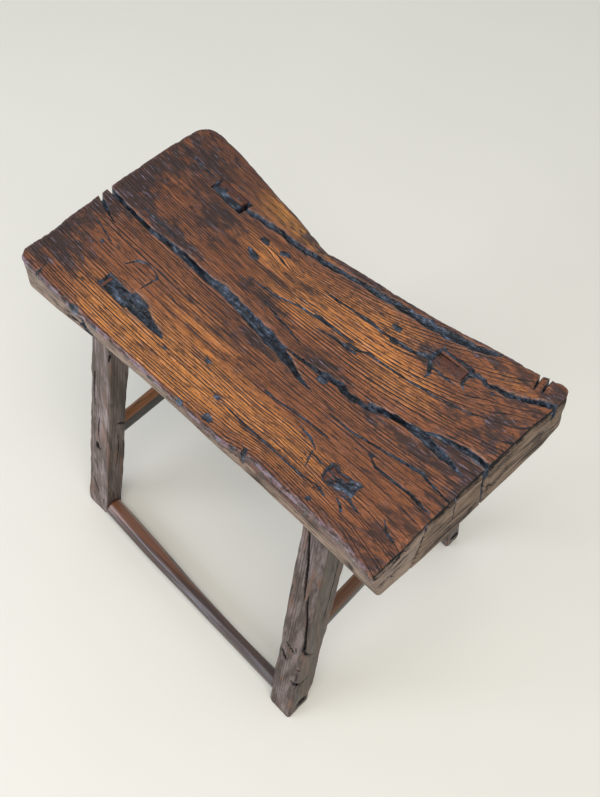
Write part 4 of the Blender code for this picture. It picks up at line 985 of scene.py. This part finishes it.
def split_slip(name, leg, sink, low_box, high_box):
    """A tapering slip of oak, from its plan at its foot to its plan at its top."""
    low, high = UNDERSIDE + WEDGE_FOOT_GAP, leg.head[2] - SURFACE_DROP - leg.sink - sink
    bm = bmesh.new()
    bmesh.ops.create_cube(bm, size=1.0, matrix=Matrix.Translation((0.5, 0.5, 0.5)))
    for vert in bm.verts:
        box, z = (high_box, high) if vert.co.z > 0.5 else (low_box, low)
        x = box[0] + (box[1] - box[0]) * vert.co.x
        y = box[2] + (box[3] - box[2]) * vert.co.y
        vert.co = Vector(leg.tenon_centre(z)) + Vector((x, y, 0))
    bmesh.ops.bevel(bm, geom=bm.edges, offset=WEDGE_BEVEL, segments=2, profile=0.5, affect="EDGES",
                    material=-1)
    bmesh.ops.subdivide_edges(bm, edges=bm.edges, cuts=WEDGE_CUTS, use_grid_fill=True)
    points = np.array([vert.co for vert in bm.verts])
    wobble = SLIP_WOBBLE * rough(points, (260.0, 260.0, 260.0), 5.0)
    points[:, 2] -= np.abs(wobble) + SLIP_CRUMBLE * np.abs(rough(points, (200.0, 300.0, 1.0), 9.0))
    return make_piece(name, bm, points, {"grain": points[:, 1] / SLIP_RING_WIDTH})


material, tree, place, mark = new_finish("dark_oak_wedge_rough")
grain = mark("grain")
phase = place.math("FRACT", grain)
fibre = place.cloud((260.0, 900.0, 120.0), 4.0, 3.0)
cloudy = place.cloud((120.0, 120.0, 60.0), 3.0, 9.0)
colour = cloudy.smooth(0.42, 0.60).paint(END_BROWN, SLIP_PALE)
colour = (fibre.smooth(0.5, 0.7) * 0.6).paint(colour, LEG_BROWN)
colour = (phase.smooth(0.75, 0.92) * 0.6).paint(colour, LEG_BLACK)
connect(tree, {"Base Color": colour, "Roughness": 0.38 + 0.3 * fibre,
               "Normal": (fibre + cloudy).bump(0.8, 0.0005)})

leg = legs["front_left"]
wall, thick = -(leg.tenon_length / 2 + leg.room[0]), leg.room[0] - JOINT_GAP
half = leg.tenon_width / 2 - JOINT_GAP
slips = {"wedge_front_left": split_slip(
    "end_wedge_front_left", leg, -END_WEDGE_RISE, (wall, wall + thick * WEDGE_TAPER_SHARE, -half, half),
    (wall, wall + thick, -half, half))}
for name in ("front_right", "back_left"):
    leg = legs[name]
    length, thick = leg.tenon_length / 2, KERF_WIDTH / 2
    thin = thick * WEDGE_TAPER_SHARE
    slips["wedge_" + name] = split_slip(
        "kerf_wedge_" + name, leg, KERF_WEDGE_SINK, (-length, length, -thin, thin),
        (-length, length, -thick, thick))
leg = legs["back_right"]
half, face = leg.tenon_length / 2 - JOINT_GAP, leg.tenon_width / 2 + leg.back_room
thick = leg.back_room - JOINT_GAP
slips["shim_back_right"] = split_slip(
    "packing_slip_back_right", leg, SHIM_SINK, (-half, half, face - thick * WEDGE_TAPER_SHARE, face),
    (-half, half, face - thick, face))
for node, piece in slips.items():
    piece.data.materials.append(material)
    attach(piece, "root")
    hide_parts(node)

# Two low round stretchers, shaved from split oak, run along the stool and go through the legs.
# Feet have rubbed them dark and glossy. They are a little bowed and uneven in girth.
ROUND_RAIL_GIRTH = 0.024
ROUND_RAIL_HEIGHT = 0.021
ROUND_RAIL_OFFSET = 0.0025
ROUND_TENON_GIRTH = 0.013
ROUND_TENON_SINK = 0.0100
RAIL_SIDES = 48
RAIL_LEVELS = 150
SHAVED_DEPTH = 0.0004
SHAVED_FACETS = 7
ROUND_RAIL_RINGS = 9.0
ROUND_RAIL_SHARES = {
    "front": {
        "girth_shares": ((0.0, 1.05), (0.12, 1.06), (0.25, 1.04), (0.5, 0.84), (0.75, 0.77), (1.0, 0.82)),
        "height_shares": (0.81, 1.14), "bow_share": -0.11},
    "back": {
        "girth_shares": ((0.0, 0.84), (0.25, 0.92), (0.5, 0.96), (0.75, 0.92), (1.0, 0.86)),
        "height_shares": (0.95, 1.05), "bow_share": 0.08},
}


def draw_rail(levels):
    """A round rod, drawn on level by level, and the places of its points on a unit circle."""
    bm = bmesh.new()
    bmesh.ops.create_circle(bm, cap_ends=True, segments=RAIL_SIDES, radius=1.0)
    grow_walls(bm, range(1, levels + 1))
    return bm, np.array([vert.co for vert in bm.verts])


def shave_round_rail(side):
    left, right = legs[side + "_left"], legs[side + "_right"]
    shares = ROUND_RAIL_SHARES[side]
    low, high = np.multiply(shares["height_shares"], ROUND_RAIL_HEIGHT)
    offset = np.array((0.0, ROUND_RAIL_OFFSET if side == "back" else -ROUND_RAIL_OFFSET, 0.0))
    start, stop = left.centre(low) + offset, right.centre(high) + offset
    inner = (start[0] + left.half_size(low)[0], stop[0] - right.half_size(high)[0])
    outer = (start[0] - left.half_size(low)[0] + ROUND_TENON_SINK,
             stop[0] + right.half_size(high)[0] - ROUND_TENON_SINK)
    bm, unit = draw_rail(RAIL_LEVELS)
    x = outer[0] + (outer[1] - outer[0]) * unit[:, 2] / RAIL_LEVELS
    share = (x - start[0]) / (stop[0] - start[0])
    free = (x - inner[0]) / (inner[1] - inner[0])
    girth = ROUND_RAIL_GIRTH * read_share(shares["girth_shares"], free)
    girth = np.where((free < 0.0) | (free > 1.0), ROUND_TENON_GIRTH, girth)
    angle = np.arctan2(unit[:, 1], unit[:, 0])
    ring = np.stack((x, 0.01 * np.cos(angle), 0.01 * np.sin(angle)), axis=1)
    facets = np.cos(SHAVED_FACETS * angle + 3.0 * rough(ring, (6.0, 1.0, 1.0)))
    shaved = SHAVED_DEPTH * (facets + 1.2 * rough(ring, (14.0, 90.0, 90.0), 3.0))
    radius = girth / 2 - SHAVED_DEPTH + shaved
    middle_y = start[1] + (stop[1] - start[1]) * share
    middle_y = middle_y + shares["bow_share"] * ROUND_RAIL_GIRTH * np.sin(pi * np.clip(share, 0, 1))
    middle_z = start[2] + (stop[2] - start[2]) * share
    points = np.stack((x, middle_y + radius * unit[:, 0], middle_z + radius * unit[:, 1]), axis=1)
    return make_piece("shaved_rail_" + side, bm, points, {
        "grain": ROUND_RAIL_RINGS * angle / pi + 1.5 * rough(ring, (5.0, 40.0, 40.0), 7.0),
        "upper": unit[:, 1], "near": -unit[:, 0] if side == "front" else unit[:, 0], "along": free,
        "peg_end_shade": (free < 0.0) | (free > 1.0)})


RAIL_RED = (0.190, 0.072, 0.034)
RAIL_ORANGE = (0.270, 0.105, 0.036)
RAIL_BROWN = (0.060, 0.030, 0.022)
RAIL_DARK = (0.016, 0.010, 0.009)
RAIL_GREY = (0.240, 0.190, 0.160)
material, tree, place, mark = new_finish("rubbed_oak_rail_round")
grain, upper, near, along, peg_end_shade = [mark(key) for key in ("grain", "upper", "near", "along", "peg_end_shade")]
phase = place.math("FRACT", grain)
streak = place.cloud((7.0, 150.0, 150.0), 4.0, 3.0)
cloudy = place.cloud((20.0, 60.0, 60.0), 4.0, 9.0)
fibre = place.cloud((60.0, 900.0, 900.0), 3.0, 15.0)
line = phase.smooth(0.78, 0.94) * (1.0 - phase.smooth(0.95, 1.0))
rubbed = (0.9 * streak + 0.3 * upper - 0.45 * along - 0.12 * near).smooth(0.42, 0.72)
colour = rubbed.paint(RAIL_BROWN, RAIL_RED).coats(
    ((cloudy - 0.25 * upper).smooth(0.40, 0.66), RAIL_DARK),
    (line * 0.6, RAIL_DARK),
    (fibre.smooth(0.56, 0.72) * 0.4, RAIL_DARK),
    # Painted shade: the tenon ends deep in the peg holes are painted dark
    (peg_end_shade, RAIL_DARK))
height = streak + 0.5 * fibre - line
connect(tree, {"Base Color": colour, "Roughness": 0.22 + 0.25 * cloudy, "Normal": height.bump(0.6, 0.0005),
               "Coat Weight": 0.5, "Coat Roughness": 0.25})
for side in ("front", "back"):
    piece = shave_round_rail(side)
    piece.data.materials.append(material)
    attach(piece, "root")
    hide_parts("stretcher_" + side)

# Two flat stretchers cross the ends higher up, each with a stub tenon in a leg at either end.
# Their tops are rubbed round and orange, their lower parts are grey and dry, and between them
# the face is painted near-black as shade.
FLAT_RAIL_THICKNESS = 0.0155
FLAT_RAIL_DEPTH = 0.032
FLAT_RAIL_HEIGHT = 0.187
FLAT_RAIL_OFFSET = 0.004
STUB_LENGTH = 0.014
STUB_SHRINK = 0.003
FLAT_SECTION_SHARES = ((0.35, 1.0), (0.85, 0.78), (1.0, 0.45), (1.0, -0.45), (0.50, -1.0))
FLAT_RAIL_SHARES = {
    "left": {
        "girth_shares": ((0.0, 1.01), (0.3, 1.04), (0.7, 1.02), (1.0, 0.98)),
        "height_share": 1.0, "offset_share": -0.4},
    "right": {
        "girth_shares": ((0.0, 1.10), (0.3, 1.09), (0.7, 1.06), (1.0, 1.04)),
        "height_share": 0.95, "offset_share": 1.0},
}
FLAT_LEVELS = 110
FLAT_SHAVINGS = ((0.03, (90.0, 12.0, 90.0), 3.0), (0.012, (300.0, 40.0, 300.0), 5.0))
FLAT_SHAVED_SHARE = 0.042
FLAT_RING_WIDTH = 0.0028
SECTION_SOFTNESS_SHARE = 0.035


def flat_section(turn):
    """Point of the rail's section at a share of the way round it, its corners rubbed soft."""
    outline = list(FLAT_SECTION_SHARES) + [(-x, z) for x, z in reversed(FLAT_SECTION_SHARES)]
    outline = np.array(outline + outline[:1])
    steps = np.hypot(*(np.diff(outline, axis=0) * (FLAT_RAIL_THICKNESS, FLAT_RAIL_DEPTH)).T)
    run = np.append(0.0, np.cumsum(steps)) / steps.sum()
    spots = [(turn + SECTION_SOFTNESS_SHARE * k) % 1.0 for k in (-1.0, -0.5, 0.0, 0.5, 1.0)]
    return [np.mean([np.interp(spot, run, outline[:, axis]) for spot in spots], axis=0) for axis in (0, 1)]


def shave_flat_rail(side):
    front, back = legs["front_" + side], legs["back_" + side]
    shares = FLAT_RAIL_SHARES[side]
    height = shares["height_share"] * FLAT_RAIL_HEIGHT
    outward = (1 if side == "right" else -1) * shares["offset_share"] * FLAT_RAIL_OFFSET
    start, stop = front.centre(height) + (outward, 0, 0), back.centre(height) + (outward, 0, 0)
    inner = (start[1] + front.half_size(height)[1], stop[1] - back.half_size(height)[1])
    bm, unit = draw_rail(FLAT_LEVELS)
    y = inner[0] - STUB_LENGTH + (inner[1] - inner[0] + 2 * STUB_LENGTH) * unit[:, 2] / FLAT_LEVELS
    free = (y - inner[0]) / (inner[1] - inner[0])
    stub = (free < 0.0) | (free > 1.0)
    turn = (0.25 - np.arctan2(unit[:, 1], unit[:, 0]) / (2 * pi)) % 1.0
    section_x, section_z = flat_section(turn)
    girth = read_share(shares["girth_shares"], free)
    half_x = np.where(stub, FLAT_RAIL_THICKNESS - 2 * STUB_SHRINK, girth * FLAT_RAIL_THICKNESS) / 2
    half_z = np.where(stub, FLAT_RAIL_DEPTH - 2 * STUB_SHRINK, girth * FLAT_RAIL_DEPTH) / 2
    middle = start + (stop - start) * ((y - start[1]) / (stop[1] - start[1]))[:, None]
    ring = np.stack((middle[:, 0] + section_x * half_x, y, middle[:, 2] + section_z * half_z), axis=1)
    shaved = 1.0 - FLAT_SHAVED_SHARE - relief(ring, FLAT_SHAVINGS)
    points = np.stack((middle[:, 0] + section_x * half_x * shaved, y,
                       middle[:, 2] + section_z * half_z * shaved), axis=1)
    return make_piece("shaved_rail_" + side + "_end", bm, points, {
        "grain": section_z * half_z / FLAT_RING_WIDTH + 1.2 * rough(ring, (30.0, 5.0, 60.0), 7.0),
        "upper": section_z, "rubbed": np.full(len(y), 1.0 if side == "left" else 0.35)})


material, tree, place, mark = new_finish("rubbed_oak_rail_flat")
grain, upper, rubbed = [mark(key) for key in ("grain", "upper", "rubbed")]
phase = place.math("FRACT", grain)
streak = place.cloud((150.0, 8.0, 150.0), 4.0, 3.0)
cloudy = place.cloud((60.0, 20.0, 60.0), 4.0, 9.0)
fibre = place.cloud((900.0, 60.0, 900.0), 3.0, 15.0)
line = phase.smooth(0.78, 0.94) * (1.0 - phase.smooth(0.95, 1.0))
lower = (0.35 * streak - upper).smooth(0.62, 0.86)
worn_top = (0.5 * streak + upper).smooth(0.70, 1.05) * (0.4 + 0.6 * rubbed)
# Painted shade: the face between the orange top and the grey lower band is left near-black
colour = worn_top.paint(RAIL_DARK, RAIL_ORANGE).coats(
    ((1.0 - rubbed) * streak.smooth(0.4, 0.7) * 0.6, RAIL_BROWN),
    (cloudy.smooth(0.56, 0.80), RAIL_DARK),
    (lower, RAIL_GREY),
    (line * 0.6, RAIL_DARK),
    (fibre.smooth(0.56, 0.72) * 0.4, RAIL_DARK))
height = streak + 0.5 * fibre - line
connect(tree, {"Base Color": colour, "Roughness": 0.30 + 0.25 * cloudy + 0.15 * lower,
               "Normal": height.bump(0.6, 0.0005)})
for side in ("left", "right"):
    piece = shave_flat_rail(side)
    piece.data.materials.append(material)
    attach(piece, "root")
    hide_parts("stretcher_" + side + "_end")

# The stool stands on a plain pale floor, in soft daylight that comes mostly from the near left,
# and is seen from above its near right corner.
FLOOR_CREAM = (0.860, 0.805, 0.705)
FLOOR_FADE = 0.985
FLOOR_SIZE = 12.0
SKY_COLOUR = (0.85, 0.93, 1.0)
SKY_STRENGTH = 0.58
CAMERA_PLACE = Vector((0.3777, -0.4114, 1.2839))
CAMERA_RIGHT = Vector((0.7122, 0.7008, 0.0405))
CAMERA_UP = Vector((-0.6180, 0.5987, 0.5096))
CAMERA_FOCUS = 1003.3
FRAME_WIDTH, FRAME_HEIGHT = 600, 797
SENSOR_SIZE = 36.0

bm = bmesh.new()
bmesh.ops.create_grid(bm, x_segments=8, y_segments=8, size=FLOOR_SIZE / 2)
floor_mesh = bpy.data.meshes.new("pale_floor")
bm.to_mesh(floor_mesh)
bm.free()
floor_piece = bpy.data.objects.new("pale_floor", floor_mesh)
bpy.context.scene.collection.objects.link(floor_piece)
material, tree, place, mark = new_finish("pale_floor_stone")
drift = place.cloud((3.0, 3.0, 3.0), 3.0)
colour = drift.smooth(0.3, 0.7).paint(FLOOR_CREAM, [FLOOR_FADE * part for part in FLOOR_CREAM])
connect(tree, {"Base Color": colour, "Roughness": 0.8})
floor_mesh.materials.append(material)

world = bpy.data.worlds.new("soft_daylight")
world.use_nodes = True
background = world.node_tree.nodes["Background"]
background.inputs["Color"].default_value = (*SKY_COLOUR, 1.0)
background.inputs["Strength"].default_value = SKY_STRENGTH
bpy.context.scene.world = world

# Each lamp: name, place, size, power and colour
LAMP_AIM = Vector((0.0, 0.0, 0.3))
LAMPS = (
    ("window_front", Vector((-1.2, -2.2, 1.35)), 1.5, 33.0, (0.78, 0.85, 1.0)),
    ("ceiling", Vector((0.7, -0.6, 2.6)), 1.6, 34.0, (1.0, 0.97, 0.92)),
)
for name, spot, size, power, colour in LAMPS:
    light = bpy.data.lights.new(name, "AREA")
    light.size, light.energy, light.color = size, power, colour
    item = bpy.data.objects.new(name, light)
    item.location = spot
    item.rotation_euler = (LAMP_AIM - spot).to_track_quat("-Z", "Y").to_euler()
    bpy.context.scene.collection.objects.link(item)

camera_data = bpy.data.cameras.new("photo_view")
camera_data.sensor_width = SENSOR_SIZE
camera_data.lens = CAMERA_FOCUS * SENSOR_SIZE / max(FRAME_WIDTH, FRAME_HEIGHT)
camera = bpy.data.objects.new("photo_view", camera_data)
look_back = CAMERA_RIGHT.cross(CAMERA_UP)
turn = Matrix((CAMERA_RIGHT, CAMERA_UP, look_back)).transposed()
camera.matrix_world = Matrix.Translation(CAMERA_PLACE) @ turn.to_4x4()
bpy.context.scene.collection.objects.link(camera)
bpy.context.scene.camera = camera
bpy.context.scene.view_settings.view_transform = "Standard"
